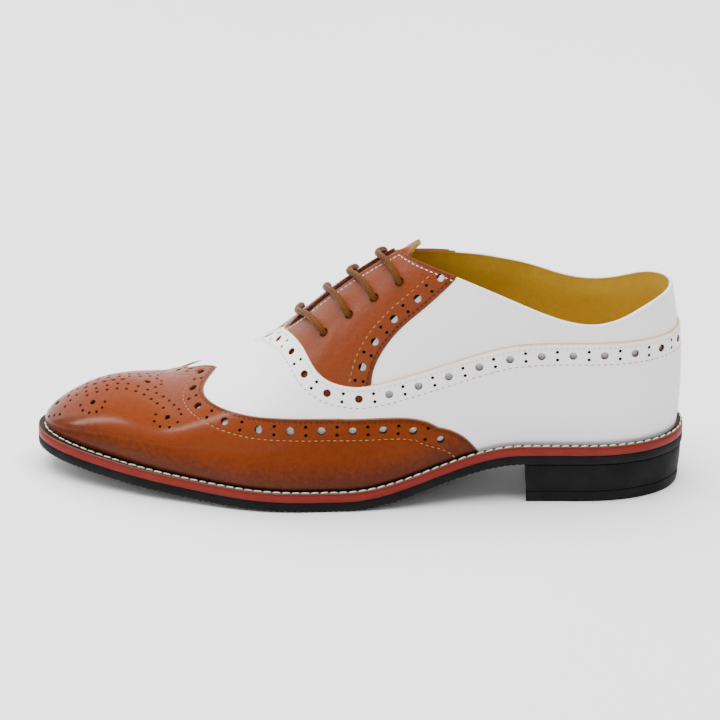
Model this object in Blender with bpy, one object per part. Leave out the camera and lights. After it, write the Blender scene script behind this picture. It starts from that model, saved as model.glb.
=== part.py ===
"""Two-tone lace-up shoe for the left foot: sole, hollow upper, overlays, tongue and lace bars."""
import math

import bmesh
import bpy
import numpy as np
from mathutils import Vector
from mathutils.geometry import delaunay_2d_cdt

# Sizes are in millimetres; every vertex is scaled to metres when its object is made.
MM = 0.001
LENGTH = 296.0
TOE_ROUND_START = 232.0
TOE_ROUND_POWER = 2.6
HEEL_ROUND_START = 48.0
HEEL_ROUND_POWER = 2.4
ROUND_ROOT = 2.1
TUCK = 1.6
RIDGE_FAN_START = 190.0
RIDGE_FAN_SET = 46.0
HEEL_FAN_START = 90.0
HEEL_FAN_SET = 42.0

# One row per cross-section of the last. along: distance from the heel; centre: sideways
# swing of the centre line; half: half breadth; widest: height of the widest line above the
# feather edge; crest: height of the ridge above the floor; fullness: squareness.
SECTION_COLUMNS = ("along", "centre", "half", "widest", "crest", "fullness")
SECTIONS = (
    (0.0, 0.0, 31.0, 26.0, 150.0, 2.10),
    (40.0, 0.0, 32.7, 26.0, 149.0, 2.20),
    (75.0, 2.0, 32.2, 24.0, 142.0, 2.30),
    (105.0, 4.4, 33.8, 21.0, 129.5, 2.15),
    (135.0, 5.3, 39.2, 18.0, 113.0, 2.00),
    (150.0, 4.4, 42.4, 17.0, 102.5, 1.95),
    (165.0, 3.1, 45.2, 16.0, 90.0, 1.95),
    (180.0, 1.8, 47.6, 15.5, 76.0, 1.95),
    (195.0, 0.5, 48.3, 15.0, 62.5, 2.00),
    (225.0, -1.0, 42.4, 14.0, 46.5, 2.10),
    (240.0, -1.5, 38.5, 13.3, 41.2, 1.95),
    (255.0, -2.0, 34.4, 12.0, 42.2, 1.95),
    (275.0, -2.7, 29.8, 8.0, 41.2, 2.00),
    (296.0, -3.5, 27.0, 2.5, 34.0, 2.10),
)

# Sole edge beyond the widest line of the upper.
LEDGE_COLUMNS = ("along", "ledge")
LEDGES = (
    (0.0, 1.6),
    (60.0, 1.6),
    (150.0, 1.7),
    (190.0, 1.8),
    (240.0, 2.2),
    (275.0, 3.2),
    (296.0, 4.0),
)
OUTSOLE_THICK = 4.8
MIDSOLE_THICK = 3.7
WELT_THICK = 1.6
INSOLE_THICK = 3.0
GAP = 0.3
TOE_SPRING = 10.5
SPRING_START = 172.0
SPRING_POWER = 1.7
WAIST_START = 155.0
HEEL_BREAST = 73.0
HEEL_HEIGHT = 19.0
HEEL_LENGTH = 72.0

# Top line of the quarters: height above the floor along the shoe.
COLLAR_COLUMNS = ("along", "height")
COLLAR = (
    (0.0, 97.5),
    (14.0, 94.0),
    (28.0, 89.0),
    (42.0, 87.0),
    (56.0, 89.5),
    (70.0, 95.0),
    (86.0, 102.0),
    (102.0, 108.3),
    (118.0, 113.0),
    (134.0, 116.0),
    (150.0, 118.0),
)
THROAT = 183.0
THROAT_OPEN = 6.0
THROAT_HALF_GAP = 3.0
THROAT_TOP_GAP = 4.6
CORNER_SOFT = 0.035

# Offsets of each layer's two faces from the visible surface of the last.
LAYERS = {
    "upper": (-3.9, -1.9),
    "facing": (-1.6, -0.7),
    "vamp": (-1.6, 0.0),
    "wing": (-1.6, 0.7),
}
SEAM_SHARE = 0.16

# Seams on the upper. along: station from the heel; rise: 0 at the widest line, 1 at the
# ridge, -1 at the feather edge.
SEAM_COLUMNS = ("along", "rise")
# The pattern of the inner side: how far it leads and drops (shares of the net), and between which stations.
INNER_LEAD, INNER_DROP = 12.0 / 350.0, 8.0 / 88.0
INNER_FRONT, INNER_BACK = (262.0, 224.0), (175.0, 60.0)
INNER_ASIDE, INNER_FOOT = 0.17, 0.5
WING_EDGE = (
    (220.0, 1.0),
    (224.7, 0.77),
    (218.0, 0.56),
    (204.0, 0.40),
    (191.0, 0.315),
    (172.5, 0.23),
    (154.0, 0.175),
    (135.5, 0.12),
    (119.0, 0.045),
    (107.0, -0.2),
    (99.0, -0.6),
    (93.5, -1.0),
)
VAMP_EDGE = (
    (184.8, 1.0),
    (181.3, 0.86),
    (174.1, 0.62),
    (168.8, 0.467),
    (163.6, 0.386),
    (155.9, 0.324),
    (143.1, 0.272),
    (133.0, 0.248),
    (119.4, 0.218),
    (90.0, 0.165),
    (60.0, 0.145),
    (30.0, 0.145),
    (0.0, 0.15),
)
FACING_EDGE = (
    (143.4, 0.273),
    (142.2, 0.335),
    (138.3, 0.393),
    (130.8, 0.443),
    (119.9, 0.475),
    (110.0, 0.51),
    (103.0, 0.56),
    (100.5, 0.66),
)
EYELETS_A_SIDE = 4
EYELET_FRONT = (165.6, 0.66)
EYELET_TOP = (131.0, 0.68)
EYELET_RADIUS = 2.3
EYELET_SIDES = 10

# Net of the skin.
END_STEP = 0.0175
SIDE_STEP = 0.0275
END_SHARE = 0.12
RISES = (-0.66, -0.33, 0.0, 0.11, 0.22, 0.34, 0.47, 0.61, 0.75, 0.89)
NET_ALONG = 350.0
NET_RISE = 88.0
NET_LOW = 21.0
SEAM_STEP = 6.4
KEEP_OFF = 2.6

TONGUE_TOP = -4.8
TONGUE_UNDER = -6.5
TONGUE_FRONT = 192.0
TONGUE_BEND = 129.0
TONGUE_FREE = 14.0
TONGUE_SLOPE = math.radians(58.0)
TONGUE_FLARE = 3.0
TONGUE_COLUMNS = ("along", "half")
TONGUE_WIDTHS = ((129.0, 8.4), (140.0, 13.5), (155.0, 16.0), (175.0, 15.0), (192.0, 11.0))

LACE_RADIUS = 1.5
LACE_SIDES = 8
LACE_RINGS = 17
LACE_SINK = 3.4
LACE_CREST = 4.2
LACE_LEAN = 8.5
SOLE_STEPS = 44

COLOURS = {
    "outsole": (0.012, 0.012, 0.013, 1.0),
    "heel": (0.012, 0.012, 0.013, 1.0),
    "midsole": (0.32, 0.055, 0.035, 1.0),
    "welt": (0.035, 0.018, 0.012, 1.0),
    "insole": (0.36, 0.22, 0.04, 1.0),
    "upper": (0.80, 0.77, 0.79, 1.0),
    "vamp": (0.80, 0.77, 0.79, 1.0),
    "wing_cap": (0.26, 0.075, 0.02, 1.0),
    "facing_lateral": (0.26, 0.075, 0.02, 1.0),
    "facing_medial": (0.26, 0.075, 0.02, 1.0),
    "tongue": (0.24, 0.07, 0.02, 1.0),
    "lace": (0.22, 0.085, 0.025, 1.0),
}


def natural_spline(xs, ys):
    """Natural cubic spline through the rows of a table."""
    xs = np.asarray(xs, float)
    ys = np.asarray(ys, float)
    step = np.diff(xs)
    count = len(xs)
    matrix = np.eye(count)
    right = np.zeros(count)
    for i in range(1, count - 1):
        matrix[i, i - 1:i + 2] = step[i - 1], 2 * (step[i - 1] + step[i]), step[i]
        right[i] = 6 * ((ys[i + 1] - ys[i]) / step[i] - (ys[i] - ys[i - 1]) / step[i - 1])
    bend = np.linalg.solve(matrix, right)

    def value(x):
        x = np.clip(np.asarray(x, float), xs[0], xs[-1])
        i = np.clip(np.searchsorted(xs, x) - 1, 0, count - 2)
        h = step[i]
        a = (xs[i + 1] - x) / h
        b = (x - xs[i]) / h
        curve = (a ** 3 - a) * bend[i] + (b ** 3 - b) * bend[i + 1]
        return a * ys[i] + b * ys[i + 1] + curve * h * h / 6

    return value


def columns(rows, names):
    """One spline per named column, over the first column."""
    table = np.array(rows, float)
    return {name: natural_spline(table[:, 0], table[:, i]) for i, name in enumerate(names)}


SHAPE = columns(SECTIONS, SECTION_COLUMNS)
LEDGE_AT = columns(LEDGES, LEDGE_COLUMNS)["ledge"]
COLLAR_AT = columns(COLLAR, COLLAR_COLUMNS)["height"]
TONGUE_HALF = columns(TONGUE_WIDTHS, TONGUE_COLUMNS)["half"]


def half_breadth(x):
    toe = np.clip((x - TOE_ROUND_START) / (LENGTH - TOE_ROUND_START), 0, 1)
    heel = np.clip((HEEL_ROUND_START - x) / HEEL_ROUND_START, 0, 1)
    front = (1 - toe ** TOE_ROUND_POWER) ** (1 / ROUND_ROOT)
    back = (1 - heel ** HEEL_ROUND_POWER) ** (1 / ROUND_ROOT)
    return SHAPE["half"](x) * front * back


WALK_X = LENGTH * (1 + np.cos(np.linspace(0, math.pi, 2001))) / 2
WALK_Y = half_breadth(WALK_X)
WALK = np.concatenate([[0], np.cumsum(np.hypot(np.diff(WALK_X), np.diff(WALK_Y)))])
WALK = WALK / WALK[-1]


def station(q):
    """Distance along the shoe for a share q of the way round, 0 at the toe and 1 at the heel."""
    return np.interp(np.abs(q), WALK, WALK_X)


def round_share(x):
    return np.interp(-np.asarray(x, float), -WALK_X, WALK)


def smooth(u):
    u = np.clip(u, 0, 1)
    return u * u * (3 - 2 * u)


def tread(x):
    """Height of the walking surface: sprung toe, flat ball, waist rising to the heel seat."""
    spring = np.clip((x - SPRING_START) / (LENGTH - SPRING_START), 0, 1) ** SPRING_POWER
    seat = smooth((WAIST_START - x) / (WAIST_START - HEEL_BREAST))
    return TOE_SPRING * spring + HEEL_HEIGHT * seat


def feather(x):
    return tread(x) + OUTSOLE_THICK + MIDSOLE_THICK + 2 * GAP


def ridge_foot(x):
    """Ridge station that a wall column leans to; the columns fan in at the toe and heel."""
    toe = np.clip((x - RIDGE_FAN_START) / (LENGTH - RIDGE_FAN_START), 0, 1)
    heel = np.clip((HEEL_FAN_START - x) / HEEL_FAN_START, 0, 1)
    return x - RIDGE_FAN_SET * toe ** 2 + HEEL_FAN_SET * heel ** 2


def widest_line(q):
    x = station(q)
    return x, SHAPE["centre"](x) + np.sign(q) * half_breadth(x)


def lead_inner(q, t):
    """The big toe joint lies ahead of the little one, so the inner side's pattern leads at the vamp."""
    starts, full = round_share(np.array(INNER_FRONT))
    fades, gone = round_share(np.array(INNER_BACK))
    share = np.abs(q)
    along = smooth((share - starts) / (full - starts)) * smooth((gone - share) / (gone - fades))
    move = np.where(q < 0, along * smooth((1 - t) / INNER_ASIDE), 0.0)
    return q + INNER_LEAD * move, t - INNER_DROP * move * smooth(t / INNER_FOOT)


def skin(q, t):
    """Visible surface of the upper: q round the shoe, t up the wall."""
    q, t = np.broadcast_arrays(np.asarray(q, float), np.asarray(t, float))
    q, t = lead_inner(q, t)
    x, y = widest_line(q)
    foot = ridge_foot(x)
    middle = SHAPE["centre"](foot)
    reach = np.hypot(x - foot, y - middle) + 1e-9
    power = 2 / SHAPE["fullness"](x)
    angle = np.clip(t, 0, 1) * math.pi / 2
    low = np.clip(-t, 0, 1)
    inward = np.where(t >= 0, np.cos(angle) ** power, 1 - TUCK / reach * low ** 2)
    inward = np.where(t >= 1, 0.0, inward)
    lift = np.sin(angle) ** power
    px = foot + inward * (x - foot)
    py = middle + inward * (y - middle)
    wide = feather(x) + SHAPE["widest"](x)
    above = wide + (SHAPE["crest"](px) - wide) * lift
    below = wide - SHAPE["widest"](x) * low
    return np.stack([px, py, np.where(t >= 0, above, below)], axis=-1)


def skin_slopes(q, t):
    """Surface directions round and up the wall."""
    h = 0.002
    t = np.clip(t, -1 + h, 0.965)
    q = np.clip(q, -1 + h, 1 - h)
    side = np.where(q >= 0, 1.0, -1.0)
    near = np.where(np.abs(q) < h, side * h, q)
    return (skin(near + h, t) - skin(near - h, t)) / (2 * h), (skin(q, t + h) - skin(q, t - h)) / (2 * h)


def skin_normal(q, t):
    """Outward normal; level at the feather edge so that every layer stands flush there."""
    round_way, up_way = skin_slopes(q, t)
    normal = np.cross(round_way, up_way)
    normal[..., 2] = np.where(np.asarray(t) <= -0.999, 0.0, normal[..., 2])
    return normal / np.linalg.norm(normal, axis=-1, keepdims=True)


def rise_of_gap(x, gap):
    """Rise at which the wall is a given distance from the centre line."""
    share = np.clip(gap / np.maximum(half_breadth(x), 0.1), 0, 1) ** (SHAPE["fullness"](x) / 2)
    return np.arccos(share) * 2 / math.pi


def rise_of_height(x, height):
    wide = feather(x) + SHAPE["widest"](x)
    share = np.clip((height - wide) / (SHAPE["crest"](ridge_foot(x)) - wide), 0, 1)
    return np.arcsin(share ** (SHAPE["fullness"](x) / 2)) * 2 / math.pi


def throat_gap(x):
    opening = np.clip((THROAT - x) / THROAT_OPEN, 0, 1) ** 0.5
    widening = np.clip((THROAT - x) / 50.0, 0, 1)
    return opening * (THROAT_HALF_GAP + (THROAT_TOP_GAP - THROAT_HALF_GAP) * widening)


def top_rise(x):
    """Upper limit of the wall: the ridge, then the throat edge, then the collar."""
    slit = rise_of_gap(x, throat_gap(x))
    collar = rise_of_height(x, COLLAR_AT(x))
    both = np.minimum(slit, collar) - CORNER_SOFT * np.exp(-np.abs(slit - collar) / CORNER_SOFT) / 2
    return np.where(x >= THROAT, 1.0, np.where(x > 150.0, slit, np.where(x < 110.0, collar, both)))


def net_height(t):
    """Height on the flat net, near the true length of the wall above and below its widest line."""
    return np.where(np.asarray(t) >= 0, np.asarray(t) * NET_RISE, np.asarray(t) * NET_LOW)


def net_rise(v):
    return np.where(v >= 0, v / NET_RISE, v / NET_LOW)


def walk(rows, step):
    """Even steps along the smooth curve through the rows, on the flat net."""
    knots = np.array(rows, float)
    flat = np.column_stack([round_share(knots[:, 0]) * NET_ALONG, net_height(knots[:, 1])])
    gone = np.concatenate([[0], np.cumsum(np.hypot(*np.diff(flat, axis=0).T))])
    fine = np.linspace(0, gone[-1], 600)
    u = natural_spline(gone, flat[:, 0])(fine)
    v = natural_spline(gone, flat[:, 1])(fine)
    true = np.concatenate([[0], np.cumsum(np.hypot(np.diff(u), np.diff(v)))])
    even = np.linspace(0, true[-1], max(2, round(true[-1] / step) + 1))
    return np.column_stack([np.interp(even, true, u), np.interp(even, true, v)])


def inside(points, polygon):
    """Which flat points lie inside a closed polygon."""
    x, y = points[:, 0], points[:, 1]
    found = np.zeros(len(points), bool)
    previous = polygon[-1]
    for corner in polygon:
        crosses = (corner[1] > y) != (previous[1] > y)
        rise = previous[1] - corner[1]
        at = corner[0] + (y - corner[1]) * (previous[0] - corner[0]) / (rise if rise else 1.0)
        found ^= crosses & (x < at)
        previous = corner
    return found


def distance_to(points, line):
    a = line[:-1]
    d = np.diff(line, axis=0)
    t = np.clip(((points[:, None] - a) * d).sum(-1) / ((d ** 2).sum(-1) + 1e-12), 0, 1)
    return np.linalg.norm(points[:, None] - (a + t[..., None] * d), axis=-1).min(1)


def eyelet_places():
    """Station and rise of each eyelet on one side, front to top."""
    share = np.linspace(0, 1, EYELETS_A_SIDE)[:, None]
    return np.array(EYELET_FRONT) * (1 - share) + np.array(EYELET_TOP) * share


def round_hole(x, t, radius, sides):
    """Loop on the net that becomes a round hole on the surface."""
    q = round_share(x)
    along, up = skin_slopes(q, np.float64(t))
    first = along / np.linalg.norm(along)
    second = np.cross(skin_normal(q, np.float64(t)), first)
    turn = np.arange(sides) * 2 * math.pi / sides
    ring = radius * (np.cos(turn)[:, None] * first + np.sin(turn)[:, None] * second)
    steps = np.linalg.lstsq(np.column_stack([along, up]), ring.T, rcond=None)[0].T
    return np.column_stack([(q + steps[:, 0]) * NET_ALONG, (t + steps[:, 1]) * NET_RISE])


def half_net():
    """Flat net of one side: points, triangles and a panel name for each triangle."""
    ends = np.arange(0, END_SHARE, END_STEP)
    sides = np.linspace(END_SHARE, 1 - END_SHARE, round((1 - 2 * END_SHARE) / SIDE_STEP))
    shares = np.concatenate([ends, sides, 1 - ends[::-1]])
    shares = np.unique(np.append(shares, round_share(THROAT)))
    xs = station(shares)
    bottom = np.column_stack([shares * NET_ALONG, np.full(len(shares), -NET_LOW)])
    top = np.column_stack([shares * NET_ALONG, net_height(top_rise(xs))])
    rows = np.array(RISES)
    front = np.column_stack([np.zeros(len(rows)), net_height(rows)])
    limit = top_rise(np.array([0.0]))[0]
    back_rows = rows[rows < limit - 0.03]
    back = np.column_stack([np.full(len(back_rows), NET_ALONG), net_height(back_rows)])
    border = np.vstack([bottom, back, top[::-1], front[::-1]])

    wing = walk(WING_EDGE, SEAM_STEP)
    vamp = walk(VAMP_EDGE, SEAM_STEP)
    facing = walk(FACING_EDGE, SEAM_STEP)
    facing[0] = vamp[np.argmin(np.linalg.norm(vamp - facing[0], axis=1))]
    nearest = np.argmin(np.linalg.norm(top - facing[-1], axis=1))
    facing[-1] = top[nearest]
    wing[0, 1] = NET_RISE
    wing[-1, 1] = -NET_LOW
    vamp[0, 1] = NET_RISE
    vamp[-1, 0] = NET_ALONG
    holes = [round_hole(x, t, EYELET_RADIUS, EYELET_SIDES) for x, t in eyelet_places()]

    grid_q, grid_t = np.meshgrid(shares[1:-1], rows)
    grid = np.column_stack([grid_q.ravel() * NET_ALONG, net_height(grid_t.ravel())])
    loops = [np.vstack([hole, hole[:1]]) for hole in holes]
    closed = np.vstack([border, border[:1]])
    keep = inside(grid, border) & (distance_to(grid, closed) > KEEP_OFF)
    for line in [wing, vamp, facing] + loops:
        keep &= distance_to(grid, line) > KEEP_OFF
    grid = grid[keep]

    points = []
    edges = []
    for line, is_loop in [(border, True), (wing, False), (vamp, False), (facing, False)] + [(h, True) for h in holes]:
        start = len(points)
        points.extend(line)
        count = len(line)
        edges.extend((start + i, start + i + 1) for i in range(count - 1))
        if is_loop:
            edges.append((start + count - 1, start))
    points.extend(grid)
    made = delaunay_2d_cdt([Vector(p) for p in points], edges, [], 1, 0.02)
    flat = np.array([tuple(p) for p in made[0]])
    faces = np.array([f for f in made[2] if len(f) == 3])
    middle = flat[faces].mean(axis=1)

    ridge_end = np.array([[0.0, NET_RISE]])
    toe = np.array([[0.0, -NET_LOW]])
    wing_area = np.vstack([wing, toe, ridge_end])
    heel_foot = np.array([[NET_ALONG, -NET_LOW]])
    vamp_area = np.vstack([wing, heel_foot, vamp[::-1]])
    corner = np.argmin(np.linalg.norm(vamp - facing[0], axis=1))
    edge_top = top[(top[:, 0] > vamp[0, 0]) & (top[:, 0] < facing[-1, 0])] + np.array([0.0, 1.0])
    facing_area = np.vstack([vamp[:corner + 1], facing, edge_top[::-1]])
    label = np.full(len(faces), "quarter", dtype=object)
    label[inside(middle, wing_area)] = "wing"
    label[inside(middle, vamp_area)] = "vamp"
    label[inside(middle, facing_area)] = "facing"
    solid = inside(middle, border)
    for hole in holes:
        solid &= ~inside(middle, hole)
    return flat, faces[solid], label[solid]


def whole_skin():
    """Both sides joined along the ridge, the toe line and the back line."""
    flat, faces, label = half_net()
    q = flat[:, 0] / NET_ALONG
    t = net_rise(flat[:, 1])
    t = np.where(t > 0.9995, 1.0, np.where(t < -0.9995, -1.0, t))
    q = np.where(q < 0.0004, 0.0, np.where(q > 0.9996, 1.0, q))
    shared = (q == 0.0) | (q == 1.0) | (t == 1.0)
    count = len(q)
    other = np.where(shared, np.arange(count), count + np.cumsum(~shared) - 1)
    lone = np.flatnonzero(~shared)
    place = np.vstack([skin(q, t), skin(-q[lone], t[lone])])
    left = skin_normal(q, t)
    right = skin_normal(-q, t)
    left[shared] = left[shared] + right[shared]
    left[shared] /= np.linalg.norm(left[shared], axis=1, keepdims=True)
    normal = np.vstack([left, right[lone]])
    both = np.vstack([faces, other[faces][:, ::-1]])
    names = np.concatenate([label, label])
    side = np.concatenate([np.full(len(faces), 1), np.full(len(faces), -1)])
    corner = place[both]
    turn = np.cross(corner[:, 1] - corner[:, 0], corner[:, 2] - corner[:, 0])
    flip = (turn * normal[both].mean(axis=1)).sum(axis=1) < 0
    both[flip] = both[flip][:, ::-1]
    return place, normal, both, names, side


def outline(q, out):
    """Plan outline a given distance outside the widest line."""
    h = 0.0015
    x0, y0 = widest_line(q - h)
    x1, y1 = widest_line(q + h)
    x, y = widest_line(q)
    dx, dy = x1 - x0, y1 - y0
    dx = np.where(np.abs(q) < 1e-9, 0.0, dx)
    long = np.hypot(dx, dy)
    return np.column_stack([x + dy / long * out, y - dx / long * out])


def sole_shares():
    half = np.linspace(0, 1, SOLE_STEPS + 1)
    return np.concatenate([half[:-1], -half[:0:-1]])


def sole_outline(out):
    """Closed plan outline; the last share stands at the back of the heel."""
    q = sole_shares()
    q = np.where(np.abs(q) > 0.999, -0.9985, q)
    ring = outline(q, LEDGE_AT(station(q)) + out)
    back = np.flatnonzero(np.abs(q) > 0.998)
    ring[back, 0] = -LEDGE_AT(0.0) - out
    ring[back, 1] = SHAPE["centre"](0.0)
    return station(sole_shares()), ring


SOLE_BOX = sole_outline(0.0)[1]
SHIFT = np.append((SOLE_BOX.min(axis=0) + SOLE_BOX.max(axis=0)) / 2, 0.0)


def material(name, colour):
    made = bpy.data.materials.new(name)
    made.use_nodes = True
    shader = made.node_tree.nodes["Principled BSDF"]
    shader.inputs["Base Color"].default_value = colour
    shader.inputs["Roughness"].default_value = 0.45
    return made


def add_solid(name, points, faces, colour):
    """One closed object, in metres, standing over the origin."""
    mesh = bpy.data.meshes.new(name)
    mesh.from_pydata([tuple(p) for p in (np.asarray(points) - SHIFT) * MM], [], [tuple(map(int, f)) for f in faces])
    body = bmesh.new()
    body.from_mesh(mesh)
    bmesh.ops.recalc_face_normals(body, faces=body.faces)
    body.to_mesh(mesh)
    body.free()
    mesh.materials.append(material(name, colour))
    made = bpy.data.objects.new(name, mesh)
    bpy.context.scene.collection.objects.link(made)
    return made


def border_edges(faces):
    """Directed edges that belong to one triangle only."""
    seen = {}
    for a, b, c in faces:
        for edge in ((a, b), (b, c), (c, a)):
            seen[edge] = True
    return [edge for edge in seen if (edge[1], edge[0]) not in seen]


def shell(name, skin_parts, chosen, offsets, colour):
    """Panel of even thickness over the chosen triangles, a hair inside its seams."""
    place, normal, faces = skin_parts
    part = faces[chosen]
    open_edges = set(border_edges(faces))
    edges = border_edges(part)
    inward = np.zeros_like(place)
    for a, b in edges:
        if (a, b) not in open_edges:
            way = np.cross(normal[a] + normal[b], place[b] - place[a])
            way = way / np.linalg.norm(way)
            inward[a] += way
            inward[b] += way
    long = np.linalg.norm(inward, axis=1, keepdims=True)
    moved = place + SEAM_SHARE * inward / np.where(long > 1e-9, long, 1.0)
    used = np.unique(part)
    index = np.full(len(place), -1)
    index[used] = np.arange(len(used))
    under = moved[used] + offsets[0] * normal[used]
    over = moved[used] + offsets[1] * normal[used]
    count = len(used)
    top = index[part]
    solid = [tuple(f) for f in top + count]
    solid += [tuple(f[::-1]) for f in top]
    for a, b in edges:
        solid.append((index[b], index[a], index[a] + count))
        solid.append((index[b], index[a] + count, index[b] + count))
    return add_solid(name, np.vstack([under, over]), solid, colour)


def ladder(ring, first):
    """Faces that span a closed outline from side to side."""
    count = len(ring)
    half = count // 2
    faces = [(first, first + 1, first + count - 1)]
    for i in range(1, half - 1):
        faces.append((first + i, first + i + 1, first + count - i - 1, first + count - i))
    faces.append((first + half - 1, first + half, first + half + 1))
    return faces


def plate(name, levels, colour):
    """Sole layer: each level is an edge offset and a height over the tread."""
    points = []
    for out, lift in levels:
        along, ring = sole_outline(out)
        points.append(np.column_stack([ring, tread(along) + lift]))
    count = len(points[0])
    faces = [f[::-1] for f in ladder(points[0], 0)]
    for level in range(len(levels) - 1):
        low = level * count
        for i in range(count):
            j = (i + 1) % count
            faces.append((low + i, low + j, low + count + j, low + count + i))
    faces += ladder(points[0], (len(levels) - 1) * count)
    return add_solid(name, np.vstack(points), faces, colour)


def make_sole():
    outsole_top = OUTSOLE_THICK
    midsole_low = outsole_top + GAP
    midsole_top = midsole_low + MIDSOLE_THICK
    stand = midsole_top + GAP
    plate("outsole", ((-0.9, 0.0), (0.0, 0.8), (0.0, outsole_top)), COLOURS["outsole"])
    plate("midsole", ((0.0, midsole_low), (0.0, midsole_top)), COLOURS["midsole"])
    wall = TUCK - LAYERS["upper"][0] + 0.6
    along, ring = sole_outline(0.0)
    q = sole_shares()
    q = np.where(np.abs(q) > 0.999, -0.9985, q)
    inner = outline(q, -wall)
    low = np.column_stack([inner, tread(along) + stand])
    high = np.column_stack([inner, tread(along) + stand + INSOLE_THICK])
    count = len(inner)
    faces = [f[::-1] for f in ladder(inner, 0)] + ladder(inner, count)
    faces += [(i, (i + 1) % count, count + (i + 1) % count, count + i) for i in range(count)]
    add_solid("insole", np.vstack([low, high]), faces, COLOURS["insole"])

    drawn_in = 0.8 * TUCK * (1 - WELT_THICK / SHAPE["widest"](along)) ** 2
    clear = outline(q, LAYERS["wing"][1] - drawn_in + GAP)
    rim = sole_outline(-0.2)[1]
    loops = []
    for edge, lift in ((clear, stand), (rim, stand), (rim, stand + WELT_THICK), (clear, stand + WELT_THICK)):
        loops.append(np.column_stack([edge, tread(along) + lift]))
    faces = []
    for level in range(4):
        low = level * count
        high = (level + 1) % 4 * count
        for i in range(count):
            j = (i + 1) % count
            faces.append((low + i, low + j, high + j, high + i))
    add_solid("welt", np.vstack(loops), faces, COLOURS["welt"])


def make_heel():
    start = round_share(HEEL_LENGTH)
    half = np.linspace(start, 1.0, 15)
    q = np.concatenate([half[:-1], [0.9985], -half[-2::-1]])
    points = []
    levels = ((2.2, 0.0), (1.4, 2.0), (0.5, HEEL_HEIGHT - GAP))
    for inset, height in levels:
        ring = outline(q, LEDGE_AT(station(q)) - inset)
        ring[14] = (-LEDGE_AT(0.0) + inset, SHAPE["centre"](0.0))
        points.append(np.column_stack([ring, np.full(len(ring), height)]))
    count = len(q)
    last = count - 1
    span = [(i, i + 1, last - i - 1, last - i) for i in range(13)] + [(13, 14, 15)]
    faces = [f[::-1] for f in span]
    for level in range(len(levels) - 1):
        low = level * count
        for i in range(count):
            j = (i + 1) % count
            faces.append((low + i, low + j, low + count + j, low + count + i))
    top = (len(levels) - 1) * count
    faces += [tuple(top + i for i in f) for f in span]
    add_solid("heel", np.vstack(points), faces, COLOURS["heel"])


def tongue_face(offset):
    """One face of the tongue: under the facings, then a free end that stands up and flares."""
    across = np.linspace(-1, 1, 9)
    rows = []
    for x in np.linspace(TONGUE_FRONT, TONGUE_BEND, 11):
        q = round_share(x)
        wide = np.abs(across) * TONGUE_HALF(x)
        t = np.minimum(rise_of_gap(x, wide), 1.0)
        side = np.where(across >= 0, q, -q)
        normal = skin_normal(side, t)
        ridge = skin_normal(np.array([q, -q]), np.ones(2)).sum(axis=0)
        normal[len(across) // 2] = ridge / np.linalg.norm(ridge)
        rows.append(skin(side, t) + offset * normal)
    bend = rows[-1]
    up = np.array([-math.cos(TONGUE_SLOPE), 0.0, math.sin(TONGUE_SLOPE)])
    face_way = np.array([math.sin(TONGUE_SLOPE), 0.0, math.cos(TONGUE_SLOPE)])
    middle = SHAPE["centre"](TONGUE_BEND)
    for share in (0.25, 0.5, 0.75, 0.92, 1.0):
        narrow = 1 - 0.35 * max(0.0, (share - 0.6) / 0.4) ** 2
        line = bend + up * share * TONGUE_FREE
        line[:, 1] = middle + (line[:, 1] - middle) * narrow
        line += face_way * (across ** 2 * TONGUE_FLARE * share ** 2)[:, None]
        rows.append(line)
    return np.array(rows)


def make_tongue():
    top = tongue_face(TONGUE_TOP)
    under = tongue_face(TONGUE_UNDER)
    rows, wide = top.shape[:2]
    count = rows * wide
    faces = []
    for i in range(rows - 1):
        for j in range(wide - 1):
            a = i * wide + j
            faces.append((a, a + 1, a + wide + 1, a + wide))
            faces.append((count + a, count + a + wide, count + a + wide + 1, count + a + 1))
    rim = [i * wide for i in range(rows)] + list(range((rows - 1) * wide + 1, count))
    rim += [i * wide + wide - 1 for i in range(rows - 2, -1, -1)] + list(range(wide - 2, 0, -1))
    for a, b in zip(rim, rim[1:] + rim[:1]):
        faces.append((a, b, count + b, count + a))
    add_solid("tongue", np.vstack([top.reshape(-1, 3), under.reshape(-1, 3)]), faces, COLOURS["tongue"])


def lace_path(x, t):
    """Centre line of one loose bar: out of one eyelet, over the throat, into the other."""
    q = round_share(x)
    lean = round_share(x + LACE_LEAN)
    half = 0.5 * (q + lean)
    spots = ((q, t, -LACE_SINK), (q, t, 0.6), (half, 0.5 * t + 0.5, 3.2))
    left = [skin(a, b) + c * skin_normal(a, b) for a, b, c in spots]
    right = [skin(-a, b) + c * skin_normal(-a, b) for a, b, c in spots]
    ridge = skin_normal(lean, 1.0) + skin_normal(-lean, 1.0)
    crest = skin(lean, 1.0) + LACE_CREST * ridge / np.linalg.norm(ridge)
    knots = np.array(left + [crest] + right[::-1])
    gone = np.concatenate([[0], np.cumsum(np.linalg.norm(np.diff(knots, axis=0), axis=1))])
    at = np.linspace(0, gone[-1], LACE_RINGS)
    return np.column_stack([natural_spline(gone, knots[:, i])(at) for i in range(3)])


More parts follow.
